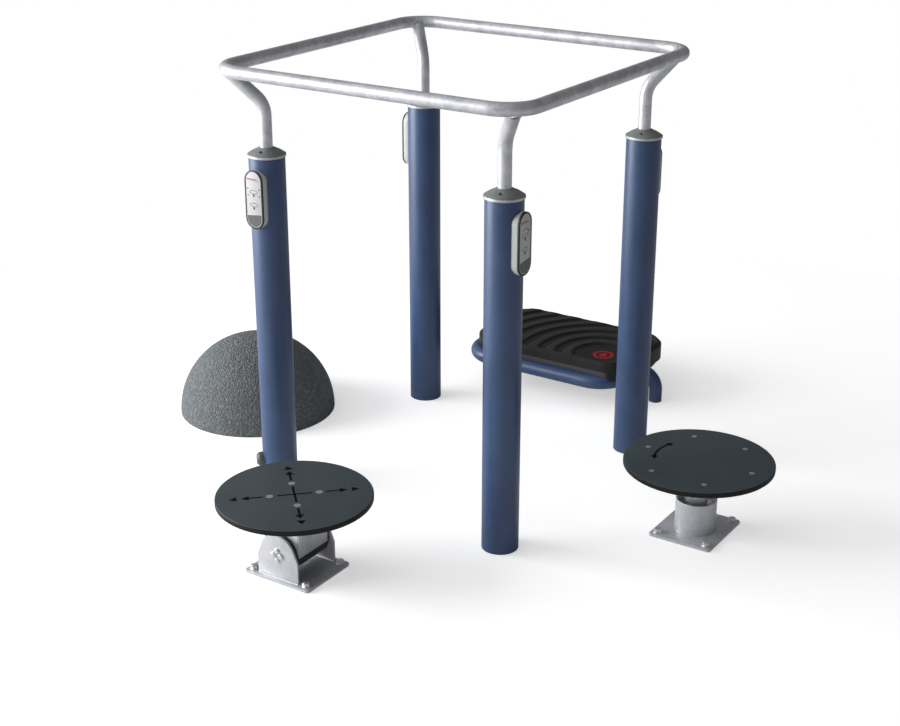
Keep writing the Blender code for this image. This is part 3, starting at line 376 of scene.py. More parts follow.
def masked(tree, first, second, amount):
    return addMath(tree, "MULTIPLY", addMath(tree, "MULTIPLY", first, second), amount, True)


def grey(value):
    return (value, value, value, 1)


def newGroup(name, values, outputs):
    # a node group that takes a place and named values
    group = bpy.data.node_groups.new(name, "ShaderNodeTree")
    group.interface.new_socket("Vector", in_out="INPUT", socket_type="NodeSocketVector")
    for label, value in values.items():
        socket = group.interface.new_socket(label, in_out="INPUT", socket_type="NodeSocketFloat")
        socket.default_value = value
    for label in outputs:
        group.interface.new_socket(label, in_out="OUTPUT", socket_type="NodeSocketFloat")
    return group, group.nodes.new("NodeGroupInput").outputs


def giveOut(group, *values):
    leave = group.nodes.new("NodeGroupOutput")
    for value, socket in zip(values, leave.inputs):
        group.links.new(value, socket)
    return group


def fineGrain():
    # two sizes of noise: a fine height for bumps and a broad tone for colour and gloss
    group, enter = newGroup("fineGrain", {"Grain Scale": 900.0, "Cloud Scale": 12.0}, ("Grain", "Cloud"))
    grain = addNoise(group, enter[0], enter[1], 3.0, 0.6)[0]
    cloud = addNoise(group, enter[0], enter[2], 4.0, 0.55)[0]
    return giveOut(group, grain, addRange(group, cloud, 0.3, 0.7))


def scratches():
    # thin light lines in random directions, from stretched cells broken up by noise
    group, enter = newGroup("scratches", {"Scale": 60.0, "Amount": 0.5}, ("Mask",))
    bent = pushed(group, enter[0], 9.0, 1.0, 1.0)
    long = addNode(group, "Mapping", {"Vector": bent, "Rotation": (0.3, 0.2, 0.9), "Scale": (1.0, 0.06, 1.0)})
    line = addRange(group, addCells(group, long[0], enter[1], "DISTANCE_TO_EDGE")[0], 0.012, 0.0)
    patch = addRange(group, addNoise(group, enter[0], 25.0, 2.0)[0], 0.52, 0.68)
    return giveOut(group, masked(group, line, patch, enter[2]))


def groundDust():
    # dust that thins out above the ground and lies in patches
    group, enter = newGroup("groundDust", {"Height": 0.15, "Amount": 0.4}, ("Mask",))
    share = addMath(group, "DIVIDE", separate(group, enter[0], 2), enter[1])
    patch = addRange(group, addNoise(group, enter[0], 30.0, 5.0, 0.65)[0], 0.35, 0.7)
    return giveOut(group, masked(group, addRange(group, share, 1.0, 0.0), patch, enter[2]))


def zincSpangle():
    # crystal patches of hot-dip zinc at two sizes, with a thin line between them
    group, enter = newGroup("zincSpangle", {"Scale": 70.0}, ("Tone", "Edge"))
    bent = pushed(group, enter[0], 60.0, 3.0, 0.012)
    large = addCells(group, bent, enter[1])[1]
    small = addCells(group, bent, scaled(group, enter[1], 2.7))[1]
    smallTone = scaled(group, separate(group, small, 1, "Color"), 0.45)
    tone = scaled(group, separate(group, large, 0, "Color"), 0.55, smallTone)
    edges = addCells(group, bent, enter[1], "DISTANCE_TO_EDGE")[0]
    return giveOut(group, tone, addRange(group, edges, 0.05, 0.0))


shared = {"grain": fineGrain(), "scratch": scratches(), "dust": groundDust(), "spangle": zincSpangle()}


def useGroup(tree, key, where, values):
    return addNode(tree, "Group", {0: where, **values}, node_tree=shared[key])


def startMaterial(name, grainScale, cloudScale, roughness=0.5, metallic=0.0, shine=0.5):
    # a Principled material, with the shared grain laid over it
    material = bpy.data.materials.new(name)
    material.use_nodes = True
    tree = material.node_tree
    shader = tree.nodes["Principled BSDF"]
    shader.inputs["Roughness"].default_value = roughness
    shader.inputs["Metallic"].default_value = metallic
    shader.inputs["Specular IOR Level"].default_value = shine
    place = addNode(tree, "TexCoord")
    scales = {"Grain Scale": grainScale, "Cloud Scale": cloudScale}
    grain, cloud = useGroup(tree, "grain", place["Object"], scales)
    return material, tree, place, grain, cloud


def endMaterial(material, colour, gloss, height, strength, depth):
    tree = material.node_tree
    sockets = tree.nodes["Principled BSDF"].inputs
    tree.links.new(colour, sockets["Base Color"])
    if gloss:
        tree.links.new(gloss, sockets["Roughness"])
    bump = addNode(tree, "Bump", {"Strength": strength, "Distance": depth, "Height": height})
    tree.links.new(bump[0], sockets["Normal"])
    return material


# finishes

def bluePowderCoat():
    look = {"dark": (0.02, 0.051, 0.138, 1), "light": (0.029, 0.071, 0.18, 1), "dust": (0.1, 0.11, 0.13, 1),
            "peel": 700.0, "peelDepth": 0.0002, "shine": 0.72, "layer": {"Height": 0.1, "Amount": 0.12}}
    material, tree, place, grain, cloud = startMaterial("bluePowderCoat", look["peel"], 7.0,
                                                        shine=look["shine"])
    colour = addMix(tree, cloud, look["dark"], look["light"])
    dust = useGroup(tree, "dust", place["Object"], look["layer"])[0]
    gloss = addMath(tree, "ADD", addRange(tree, cloud, 0, 1, 0.37, 0.42), dust)
    colour = addMix(tree, dust, colour, look["dust"])
    return endMaterial(material, colour, gloss, grain, strength=0.12, depth=look["peelDepth"])


def galvanisedSteel(name, scale=45.0, low=0.6, high=0.72, metallic=0.85, brushed=False):
    look = {"low": (low, low * 1.02, low * 1.09, 1), "high": (high, high * 1.015, high * 1.07, 1),
            "stain": (low * 0.6, low * 0.62, low * 0.68, 1), "brush": (3.0, 3.0, 420.0)}
    material, tree, place, grain, cloud = startMaterial(name, 300.0, 16.0, 0.4, metallic)
    tone, edge = useGroup(tree, "spangle", place["Object"], {"Scale": scale})
    blend = scaled(tree, tone, 0.5, scaled(tree, cloud, 0.5))
    colour = addMix(tree, addRange(tree, blend, 0.2, 0.8), look["low"], look["high"])
    colour = addMix(tree, scaled(tree, addRange(tree, cloud, 0.6, 1.0), 0.18), colour, look["stain"])
    height = scaled(tree, edge, -0.2, grain)
    if brushed:
        stretched = addNode(tree, "Mapping", {"Vector": place["Object"], "Scale": look["brush"]})[0]
        lines = addNoise(tree, stretched, 1.0, 2.0)[0]
        colour = addMix(tree, scaled(tree, addRange(tree, lines, 0.35, 0.7), 0.35), colour, look["stain"])
        height = scaled(tree, lines, 2.0, height)
    gloss = addRange(tree, blend, 0.2, 0.8, 0.44, 0.34)
    return endMaterial(material, colour, gloss, height, strength=0.12, depth=0.0002)


def castAlloy(name, dark, light, metallic):
    material, tree, _, grain, cloud = startMaterial(name, 1100.0, 45.0, 0.5, metallic)
    colour = addMix(tree, scaled(tree, grain, 0.25), addMix(tree, cloud, dark, light), grey(0.6))
    gloss = addRange(tree, grain, 0.2, 0.8, 0.38, 0.6)
    return endMaterial(material, colour, gloss, grain, strength=0.4, depth=0.00025)


def mouldedPlastic(name, colour, roughness=0.45, grainScale=1400.0, lift=1.25):
    material, tree, _, grain, cloud = startMaterial(name, grainScale, 30.0, roughness)
    light = tuple(min(1, channel * lift) for channel in colour[:3]) + (1,)
    gloss = addRange(tree, grain, 0.2, 0.8, roughness - 0.06, roughness + 0.08)
    colour = addMix(tree, cloud, colour, light)
    return endMaterial(material, colour, gloss, grain, strength=0.2, depth=0.00012)


def slateBoard():
    # grey face with scuffs from shoes on top, and a black core at the edge
    look = {"face": (0.049, 0.066, 0.075, 1), "faceLight": (0.06, 0.079, 0.089, 1), "edge": grey(0.007),
            "scuff": (0.1, 0.112, 0.118, 1), "leather": 260.0}
    material, tree, place, grain, cloud = startMaterial("slateBoard", 900.0, 14.0, shine=0.25)
    cells = addCells(tree, place["Object"], look["leather"], "SMOOTH_F1")[0]
    face = addMix(tree, cloud, look["face"], look["faceLight"])
    lines = useGroup(tree, "scratch", place["Object"], {"Scale": 30.0, "Amount": 0.5})[0]
    face = addMix(tree, lines, face, look["scuff"])
    top = addRange(tree, separate(tree, place["Normal"], 2), 0.55, 0.8)
    gloss = addRange(tree, cloud, 0, 1, 0.42, 0.56)
    return endMaterial(material, addMix(tree, top, look["edge"], face), gloss,
                       scaled(tree, cells, 0.7, grain), strength=0.25, depth=0.0002)


def deckRubber():
    # black rubber, worn greyer on top of the ribs, with painted light along the foot of its long sides
    high = nodeBox("step_deck")[1].z
    look = {"dark": grey(0.008), "light": grey(0.013), "worn": (0.026, 0.026, 0.0275, 1),
            "side": (0.06, 0.055, 0.06, 1), "wornLow": high - 2.2 * mm, "wornHigh": high - 0.2 * mm,
            "sideTop": high - 34 * mm, "sideFull": high - 37 * mm}
    material, tree, place, grain, cloud = startMaterial("deckRubber", 650.0, 16.0, shine=0.3)
    level = separate(tree, place["Object"], 2)
    worn = addRange(tree, level, look["wornLow"], look["wornHigh"])
    colour = addMix(tree, worn, addMix(tree, cloud, look["dark"], look["light"]), look["worn"])
    # painted light: the lower band of the long sides is coloured lighter, as if lit from the side lamp
    facing = addMath(tree, "ABSOLUTE", separate(tree, place["Normal"], 1))
    paintedSideLight = addMath(tree, "MULTIPLY", addRange(tree, facing, 0.93, 0.98),
                      addRange(tree, level, look["sideTop"], look["sideFull"]))
    gloss = addRange(tree, cloud, 0, 1, 0.42, 0.58)
    colour = addMix(tree, paintedSideLight, colour, look["side"])
    return endMaterial(material, colour, gloss, grain, strength=0.4, depth=0.0003)


def rubberGranulate():
    # pressed granules of a few greys, each a little raised
    look = {"scale": 170.0, "dark": (0.111, 0.122, 0.13, 1), "mid": (0.158, 0.173, 0.182, 1),
            "light": (0.216, 0.23, 0.238, 1)}
    material, tree, place, grain, cloud = startMaterial("rubberGranulate", 900.0, 9.0, 0.8, shine=0.35)
    distance, cellColour = addCells(tree, pushed(tree, place["Object"], 180.0, 2.0, 0.004), look["scale"])[:2]
    tone = separate(tree, cellColour, 0, "Color")
    colour = addMix(tree, addRange(tree, tone, 0.1, 0.75), look["dark"], look["mid"])
    colour = addMix(tree, addRange(tree, tone, 0.75, 0.98), colour, look["light"])
    colour = addMix(tree, scaled(tree, cloud, 0.35), colour, look["mid"])
    height = scaled(tree, distance, -1.0, scaled(tree, grain, 0.3))
    return endMaterial(material, colour, None, height, strength=1.0, depth=0.0042)


def turnedSteel(name, tone, roughness, metallic=1.0):
    material, tree, place, grain, cloud = startMaterial(name, 500.0, 80.0, roughness, metallic)
    lines = useGroup(tree, "scratch", place["Object"], {"Scale": 220.0, "Amount": 0.6})[0]
    colour = addMix(tree, cloud, (tone * 0.8, tone * 0.8, tone * 0.82, 1), grey(tone))
    gloss = addRange(tree, grain, 0.2, 0.8, roughness - 0.08, roughness + 0.12)
    colour = addMix(tree, lines, colour, grey(tone * 0.6))
    return endMaterial(material, colour, gloss, grain, strength=0.15, depth=0.0001)


def markingPaint(name, colour, shine=0.5):
    # thin paint or inlay, a little worn through
    material, tree, _, grain, _ = startMaterial(name, 800.0, 90.0, 0.55, shine=shine)
    faded = tuple(channel * 0.8 + 0.002 for channel in colour[:3]) + (1,)
    colour = addMix(tree, addRange(tree, grain, 0.45, 0.8), colour, faded)
    return endMaterial(material, colour, None, grain, strength=0.3, depth=0.0001)


# each look: the record's material slot, then the material
finish = {
    "blue": ("blue_paint", bluePowderCoat()),
    "zinc": ("galvanised", galvanisedSteel("galvanisedSteel")),
    # a paler copy of the zinc: painted light that brightens plates lying in shade
    "zincPaintedLight": ("galvanised", galvanisedSteel("galvanisedPaintedLight", 45.0, 0.84, 0.93, 0.15)),
    "zincFoot": ("galvanised", galvanisedSteel("galvanisedFoot", 45.0, 0.52, 0.66, 0.35)),
    "zincTube": ("galvanised", galvanisedSteel("galvanisedTube", 38.0, 0.5, 0.7, 0.5)),
    "zincRail": ("galvanised", galvanisedSteel("galvanisedRail", 38.0, 0.44, 0.68, 0.5)),
    "turned": ("galvanised", galvanisedSteel("brushedTube", 60.0, 0.66, 0.78, 0.5, brushed=True)),
    "weld": ("galvanised", galvanisedSteel("weldZinc", 300.0, 0.5, 0.65, 0.7)),
    "cap": ("cast_alloy", castAlloy("castCap", (0.16, 0.19, 0.18, 1), (0.24, 0.27, 0.26, 1), 0.5)),
    "capRim": ("cast_alloy", castAlloy("castCapRim", (0.45, 0.47, 0.48, 1), (0.62, 0.64, 0.65, 1), 0.7)),
    "knob": ("cast_alloy", castAlloy("drainCap", (0.013, 0.019, 0.02, 1), (0.022, 0.03, 0.031, 1), 0.1)),
    "bracket": ("sign_grey", mouldedPlastic("signBracket", (0.5, 0.53, 0.52, 1), 0.45, lift=1.08)),
    "rim": ("sign_black", mouldedPlastic("signRim", grey(0.009), 0.4, lift=1.6)),
    "face": ("sign_white", mouldedPlastic("signFace", (0.5, 0.5, 0.51, 1), 0.5, lift=1.06)),
    "faceDark": ("sign_black", mouldedPlastic("signDark", (0.075, 0.078, 0.08, 1), 0.35)),
    "faceInk": ("sign_black", markingPaint("signInk", grey(0.03))),
    "faceLine": ("sign_black", markingPaint("signLine", (0.42, 0.045, 0.05, 1))),
    "board": ("slate_board", slateBoard()),
    "inlay": ("sign_black", markingPaint("boardInlay", grey(0.002), 0.05)),
    "socket": ("sign_black", mouldedPlastic("socketShade", grey(0.2), 0.6)),
    "housing": ("black_paint", mouldedPlastic("blackHousing", (0.012, 0.0135, 0.017, 1), 0.4, lift=1.7)),
    "bolt": ("zinc_bolt", turnedSteel("zincBolt", 0.88, 0.26, metallic=0.8)),
    "screw": ("stainless", turnedSteel("stainlessScrew", 0.55, 0.42, metallic=0.7)),
    "bearing": ("bearing_steel", turnedSteel("bearingSteel", 0.35, 0.3)),
    "deck": ("deck_rubber", deckRubber()),
    "deckMark": ("deck_rubber", markingPaint("deckMark", (0.5, 0.01, 0.016, 1), 0.2)),
    "dome": ("granulate", rubberGranulate()),
}
torsionRubber = mouldedPlastic("torsionRubber", grey(0.01), 0.7, 500.0, 1.5)
print("finishes ready")


# frame: posts, caps, risers, handrail

def makePosts():
    post = {"wall": 3.2 * mm, "edge": 0.8 * mm}
    for name in cornerNames:
        node = "post_" + name
        radius = nodeSize(node).x / 2
        tube = pipe(radius, radius - post["wall"], 0, nodeBox(node)[1].z, post["edge"], steps=96)
        finishPiece("postTube_" + name, tube, "blue", [node], place=footOf(node))


def makeCaps():
    cap = {"joint": 0.3 * mm, "rimHeight": 7 * mm, "coneRise": 17 * mm, "collar": 5 * mm, "coneEdge": 4 * mm,
           "shoulder": 0.72, "shoulderRise": 0.52, "foot": 3 * mm, "footRise": 1.2 * mm, "footSunk": 0.6 * mm,
           "inset": 0.8 * mm,
           "rimEdge": 0.3 * mm, "rimWide": 1 * mm, "rimLip": 0.4 * mm, "rimStep": 0.5 * mm,
           "rimDrop": 1.5 * mm, "plug": 47 * mm, "plugBore": 43.5 * mm, "pocketCircle": 35 * mm,
           "pocketRadius": 5.5 * mm, "pocketDepth": 9 * mm, "pocketTurn": math.radians(166),
           "pocketSkin": 1 * mm, "spare": 5 * mm,
           "screw": ((0, 2.4), (1.6, 2.4), (1.7, 4.2), (3.6, 4), (3.8, 0.6), (0, 0.6)), "screwEdge": 0.3 * mm}
    for name in cornerNames:
        node, post = "cap_" + name, "post_" + name
        low, high = nodeBox(node)
        rim = max(nodeSize(node).x, nodeSize(node).y) / 2
        bore = nodeSize("handrail").z / 2 + cap["joint"]
        seat = nodeBox(post)[1].z + cap["joint"]
        rimTop = seat + cap["rimHeight"]
        coneTop = rimTop + cap["coneRise"]
        place = footOf(post)
        cone = [(bore, high.z), (bore + cap["collar"] / 2, high.z), (bore + cap["collar"], coneTop - 1 * mm),
                (rim * cap["shoulder"], rimTop + cap["coneRise"] * cap["shoulderRise"]),
                (rim - cap["foot"], rimTop + cap["footRise"]), (rim - cap["inset"], rimTop - cap["footSunk"]),
                (rim - cap["inset"], seat), (bore, seat)]
        pockets, screws = bmesh.new(), bmesh.new()
        floor = rimTop + cap["coneRise"] / 2 - cap["pocketDepth"]
        head = [(x * mm, floor + z * mm) for x, z in cap["screw"]]
        for index in range(3):
            angle = cap["pocketTurn"] + fullTurn * index / 3
            spot = moveTo(cap["pocketCircle"] * math.cos(angle), cap["pocketCircle"] * math.sin(angle))
            hole = cylinder(cap["pocketRadius"], floor + cap["pocketSkin"], coneTop + cap["spare"], steps=24)
            addPart(pockets, hole, spot)
            addPart(screws, turned(head, cap["screwEdge"], steps=24), spot)
        top = moved(turned(cone, cap["coneEdge"], steps=80, rounds=5, closed=True), place)
        finishPiece("capDome_" + name, carved(top, moved(pockets, place)), "cap", [node], sharp=30)
        finishPiece("capScrews_" + name, screws, "bolt", place=place)
        band = [(rim, rimTop - cap["rimDrop"]), (rim - cap["rimLip"], rimTop - cap["rimStep"]),
                (rim - cap["rimWide"], rimTop - cap["rimStep"]), (rim - cap["rimWide"], seat), (rim, seat)]
        ring = turned(band, cap["rimEdge"], steps=80, closed=True)
        finishPiece("capRim_" + name, ring, "capRim", place=place)
        plug = [(cap["plug"], seat), (cap["plug"], low.z), (cap["plugBore"], low.z), (cap["plugBore"], seat)]
        finishPiece("capPlug_" + name, lathe(plug, steps=64, closed=True), "cap", place=place)


rail = {"corner": 90 * mm, "riserBend": 75 * mm, "riserInsert": 110 * mm, "riserEnd": 0.7,
        "seamSunk": 0.25 * mm, "seam": 0.6 * mm, "weld": 2.2 * mm, "weldLift": 0.6 * mm}
railHalf = nodeSize("handrail").x / 2 - nodeSize("handrail").z / 2
railHeight = nodeCentre("handrail").z
railRadius = nodeSize("handrail").z / 2


def makeHandrail():
    outline = roundedRectangle(railHalf, railHalf, rail["corner"], steps=16)
    path = [(frameCentre.x + x, frameCentre.y + y, railHeight) for x, y in outline]
    tube = sweep(path, railRadius, closed=True, sides=14)
    finishPiece("railTube", tube, "zincRail", ["handrail"], sharp=40)
    # a ground butt weld in the middle of the side towards the step
    seam = [(frameCentre.x, frameCentre.y + railHalf + y, railHeight + z)
            for y, z in circle(railRadius - rail["seamSunk"], steps=48)]
    finishPiece("railSeam", bead(seam, rail["seam"]), "weld")


def makeRisers():
    bend, lean = rail["riserBend"], quarter / 2
    cornerReach = railHalf * math.sqrt(2) - rail["corner"] * (math.sqrt(2) - 1)
    for name in cornerNames:
        base = nodeCentre("post_" + name)
        base.z = 0
        outward = base - frameCentre
        reach = cornerReach - outward.length
        outward.normalize()
        bendStart = railHeight - (reach - bend * (1 - math.cos(lean))) - bend * math.sin(lean)
        shape = [(0, nodeBox("post_" + name)[1].z - rail["riserInsert"])]
        shape += arcPoints(bend, bendStart, bend, math.pi, math.pi - lean, steps=12)
        shape.append((reach - railRadius * rail["riserEnd"], railHeight - railRadius * rail["riserEnd"]))
        points = [base + outward * out + upZ * z for out, z in shape]
        finishPiece("riserTube_" + name, sweep(points, railRadius, sides=14), "zincTube", ["riser_" + name],
                    sharp=40)
        # the weld follows the line where the riser meets the rail
        along = (outward + upZ).normalized()
        across = upZ.cross(outward).normalized()
        third = along.cross(across).normalized()
        joint = base + outward * reach + upZ * railHeight
        weld = []
        for x, y in circle(railRadius, steps=60):
            offset = across * x + third * y
            flat = offset - across * offset.dot(across)
            back = math.sqrt(max(railRadius * railRadius - flat.length_squared, 0))
            weld.append(joint + offset - along * (back + rail["weldLift"]))
        finishPiece("riserWeld_" + name, bead(weld, rail["weld"]), "weld")


# signs

def drawSymbol(kind, low, high):
    # a plain picture of the element, drawn twice, with arrows for what moves
    symbol = {"levels": (22 * mm, -14 * mm), "dome": 13 * mm, "domeDrop": 4 * mm, "tread": (15 * mm, 4 * mm),
              "treadCorner": 2.5 * mm, "legs": ((-10 * mm, -7 * mm), (7 * mm, 10 * mm)), "legLow": 11 * mm,
              "legHigh": 4.5 * mm, "disc": (15 * mm, 5.5 * mm, 1.4 * mm), "stem": 3 * mm, "stemLow": 13 * mm,
              "stemHigh": 6.5 * mm, "gap": 0.001, "turn": 17 * mm, "turnWidth": 1.6 * mm,
              "turnLevel": 24 * mm, "turnStart": 0.5, "turnEnd": 2.3, "turnTip": 0.3, "turnLean": 0.4,
              "arrow": (5 * mm, 6 * mm), "tiltReach": 20 * mm,
              "tiltTips": ((34 * mm, quarter), (8 * mm, -quarter))}
    outlines = []
    work = bmesh.new()
    for level in symbol["levels"]:
        if kind == "dome":
            outlines.append(arcPoints(0, level - symbol["domeDrop"], symbol["dome"], 0, math.pi, steps=24))
        elif kind == "step":
            tread = roundedRectangle(*symbol["tread"], symbol["treadCorner"], steps=5)
            outlines.append([(x, y + level) for x, y in tread])
            for left, right in symbol["legs"]:
                outlines.append(rectangle(left, level - symbol["legLow"], right, level - symbol["legHigh"]))
        else:
            disc = ringBand(*symbol["disc"], level, low, high, symbol["gap"], fullTurn - symbol["gap"])
            addPart(work, disc)
            outlines.append(rectangle(-symbol["stem"], level - symbol["stemLow"],
                                      symbol["stem"], level - symbol["stemHigh"]))
    for outline in outlines:
        addPart(work, slab(outline, low, high))
    arrows = []
    if kind == "spin":
        addPart(work, ringBand(symbol["turn"], symbol["turn"], symbol["turnWidth"], symbol["turnLevel"],
                               low, high, symbol["turnStart"], symbol["turnEnd"]))
        tipX = symbol["turn"] * math.cos(symbol["turnTip"])
        tipY = symbol["turnLevel"] + symbol["turn"] * math.sin(symbol["turnTip"])
        arrows.append((tipX, tipY, symbol["turnLean"] - quarter))
    elif kind == "tilt":
        arrows = [(way * symbol["tiltReach"], *tip) for way in (1, -1) for tip in symbol["tiltTips"]]
    for arrow in arrows:
        addPart(work, arrowHead(*arrow, *symbol["arrow"], low, high))
    return work


def makeSigns():
    sign = {"edge": 1.32 * mm, "rimEdge": 1.0 * mm, "faceEdge": 0.3 * mm, "print": 0.12 * mm, "fit": 0.2 * mm,
            "spare": 4 * mm, "inset": 2.2 * mm, "footRight": 12 * mm, "footLeft": 6 * mm,
            "line": (-22 * mm, 56.6 * mm, 13 * mm, 59.4 * mm),
            "rule": (-23 * mm, 54.2 * mm, 23 * mm, 54.9 * mm)}
    icons = {"left": "tilt", "front": "spin", "right": "step", "back": "dome"}
    for index, name in enumerate(cornerNames):
        bracket, rim, plate = ["sign_" + part + "_" + name for part in ("bracket", "rim", "plate")]
        centre = nodeCentre("post_" + name)
        height = nodeCentre(plate).z
        facing = turnBy(index * quarter) @ Vector((0, -1, 0))
        stand = moveTo(centre.x, centre.y, height) @ turnBy(index * quarter) @ turnBy(quarter, "X")

        def depths(node):
            # near and far distance of a node from the post's axis, the way the sign faces
            return sorted((corner - centre).dot(facing) for corner in nodeBox(node))

        tall = nodeSize(rim).z
        wide = max(nodeSize(rim).x, nodeSize(rim).y)
        block = moved(slab(capsule(wide, tall), *depths(bracket), sign["edge"]), stand)
        post = cylinder(nodeSize("post_" + name).x / 2 + sign["fit"], -tall, tall, steps=96)
        seat = moved(post, moveTo(centre.x, centre.y, height))
        finishPiece("signBlock_" + name, carved(block, seat), "bracket", [bracket])

        inner = max(nodeSize(plate).x, nodeSize(plate).y)
        innerTall = nodeSize(plate).z
        rimNear, rimFar = depths(rim)
        near, far = depths(plate)
        tray = moved(slab(capsule(wide, tall), rimNear, rimFar, sign["rimEdge"]), stand)
        well = slab(capsule(inner + 2 * sign["fit"], innerTall + 2 * sign["fit"]),
                    near - sign["fit"], rimFar + sign["spare"])
        finishPiece("signTray_" + name, carved(tray, moved(well, stand)), "rim", [rim])
        face = slab(capsule(inner, innerTall), near, far, sign["faceEdge"])
        finishPiece("signFace_" + name, face, "face", [plate], place=stand)

        # generic print: a dark foot, a plain line, a thin rule and a symbol of the element
        half = inner / 2 - sign["inset"]
        bottom = half + sign["inset"] - innerTall / 2
        foot = arcPoints(0, bottom, half, math.pi, fullTurn, steps=24)
        foot += [(half, bottom + sign["footRight"]), (-half, bottom + sign["footLeft"])]
        top = far + sign["print"]
        for label, look, mark in (("Foot", "faceDark", slab(foot, far, top)),
                                  ("Line", "faceLine", slab(rectangle(*sign["line"]), far, top)),
                                  ("Rule", "faceInk", slab(rectangle(*sign["rule"]), far, top)),
                                  ("Symbol", "faceInk", drawSymbol(icons[name], far, top))):
            finishPiece("sign" + label + "_" + name, mark, look, place=stand)


def makeDrainCap():
    node = "post_drain_cap"
    centre = nodeCentre("post_left")
    outward = Vector((centre.x - frameCentre.x, centre.y - frameCentre.y, 0)).normalized()
    cap = {"sunk": 4 * mm, "radius": nodeSize(node).z / 2, "reach": 22 * mm, "face": 14 * mm,
           "dish": 1.2 * mm, "dishWide": 0.75, "lipWide": 0.8, "shoulder": 0.93, "shoulderReach": 0.72,
           "edge": 1.6 * mm}
    start = outward * (nodeSize("post_left").x / 2 - cap["sunk"])
    profile = [(0, cap["reach"] - cap["dish"]), (cap["face"] * cap["dishWide"], cap["reach"] - cap["dish"]),
               (cap["face"] * cap["lipWide"], cap["reach"]), (cap["face"], cap["reach"]),
               (cap["radius"] * cap["shoulder"], cap["reach"] * cap["shoulderReach"]),
               (cap["radius"], cap["reach"] / 2),
               (cap["radius"], 0), (0, 0)]
    place = moveTo(centre.x + start.x, centre.y + start.y, nodeCentre(node).z) @ pointAt(outward)
    finishPiece("drainCap", turned(profile, cap["edge"], steps=56, rounds=4), "knob", [node], place=place)


makePosts()
makeCaps()
makeHandrail()
makeRisers()
makeSigns()
makeDrainCap()
print("frame dressed")


# boards with their screws and inlays

def socketScrew(node, body, name):
    # a flush round head in a thin dark joint, with a flat hexagon of painted shade standing for its socket
    screw = {"fill": 0.98, "proud": 0.35 * mm, "rim": 1.2 * mm, "skirt": 2 * mm, "socket": 2.2 * mm,
             "socketDeep": 0.1 * mm, "socketLift": 0.03 * mm}
    place = footOf(node)
    radius = max(nodeSize(node).x, nodeSize(node).y) / 2
    top = nodeBox(node)[1].z
    work = bmesh.new()
    bmesh.ops.create_circle(work, cap_ends=True, segments=48, radius=radius * screw["fill"],
                            matrix=moveTo(0, 0, top))
    bmesh.ops.inset_region(work, faces=work.faces[:], thickness=screw["rim"], depth=screw["proud"])
    rims = [edge for edge in work.edges if edge.is_boundary]
    skirt = vertsIn(bmesh.ops.extrude_edge_only(work, edges=rims))
    bmesh.ops.translate(work, vec=(0, 0, -screw["skirt"]), verts=skirt)
    finishPiece(name, work, "screw", [node], body, place)
    # painted shade: a thin dark hexagon laid on the head in place of a socket recess
    socket = bmesh.new()
    bmesh.ops.create_cone(socket, cap_ends=True, segments=6, radius1=screw["socket"], radius2=screw["socket"],
                          depth=screw["socketDeep"])
    lift = moveTo(0, 0, top + screw["proud"] + screw["socketLift"])
    finishPiece(name + "Socket", socket, "socket", (), body, place @ lift)


def makeBoard(prefix, screws, inlayName, inlay, place):
    board = {"edge": 3 * mm, "lowEdge": 1.5 * mm}
    node, body = prefix + "_board", prefix + "_top"
    low, high = nodeBox(node)
    radius = nodeSize(node).x / 2
    profile = [(0, high.z)]
    profile += arcPoints(radius - board["edge"], high.z - board["edge"], board["edge"], quarter, 0, steps=6)
    profile += [(radius, (low.z + high.z) / 2), (radius, low.z + board["lowEdge"]),
                (radius - board["lowEdge"], low.z), (0, low.z)]
    finishPiece(prefix + "Disc", lathe(profile, steps=128), "board", [node], body, footOf(node), 40)
    for index in range(1, screws + 1):
        socketScrew(prefix + "_screw_" + str(index), body, prefix + "Screw_" + str(index))
    finishPiece(inlayName, inlay, "inlay", (), body, place @ moveTo(0, 0, high.z))


inlayFit = {"low": -1.0 * mm, "high": 0.15 * mm}


def makeTiltBoard():
    arrow = {"half": 3 * mm, "crossEnd": 46 * mm, "lineStart": 83 * mm, "lineEnd": 121 * mm,
             "headTips": (140 * mm, 172 * mm), "head": (21 * mm, 24 * mm)}
    inlay = bmesh.new()
    for index in range(4):
        spoke = turnBy(quarter / 2 + index * quarter)
        bars = [rectangle(arrow["lineStart"], -arrow["half"], arrow["lineEnd"], arrow["half"])]
        if index < 2:
            bars.insert(0, rectangle(-arrow["crossEnd"], -arrow["half"], arrow["crossEnd"], arrow["half"]))
        for bar in bars:
            addPart(inlay, slab(bar, **inlayFit), spoke)
        for tip in arrow["headTips"]:
            addPart(inlay, arrowHead(tip, 0, 0, *arrow["head"], **inlayFit), spoke)
    makeBoard("tilt", 4, "tiltArrows", inlay, tiltFoot)


def makeSpinBoard():
    arrow = {"radius": 122 * mm, "width": 6.5 * mm, "start": math.radians(156), "end": math.radians(204),
             "tipTurn": math.radians(6), "headTurn": math.radians(3), "head": (21 * mm, 21 * mm)}
    outer = arrow["radius"] + arrow["width"] / 2
    inlay = ringBand(outer, outer, arrow["width"], 0, start=arrow["start"], end=arrow["end"], **inlayFit)
    for angle, way in ((arrow["start"], -1), (arrow["end"], 1)):
        tip = angle + way * arrow["tipTurn"]
        heading = angle + way * (quarter + arrow["headTurn"])
        addPart(inlay, arrowHead(arrow["radius"] * math.cos(tip), arrow["radius"] * math.sin(tip),
                                 heading, *arrow["head"], **inlayFit))
    makeBoard("spin", 6, "spinArrow", inlay, spinFoot)


makeTiltBoard()
makeSpinBoard()
print("boards dressed")


# ground plates

groundSheet = {"thick": 8 * mm, "corner": 9 * mm, "edge": 0.9 * mm}
weldSize = {"foot": 2.4 * mm, "footLift": 0.5 * mm, "carrier": 1.9 * mm, "carrierLift": 0.4 * mm,
            "pedestal": 2.6 * mm, "pedestalLift": 0.7 * mm, "pedestalGap": 0.8 * mm}


def groundPlate(node):
    outline = roundedRectangle(nodeSize(node).x / 2, nodeSize(node).y / 2, groundSheet["corner"], steps=6)
    return slab(outline, 0, groundSheet["thick"], groundSheet["edge"])


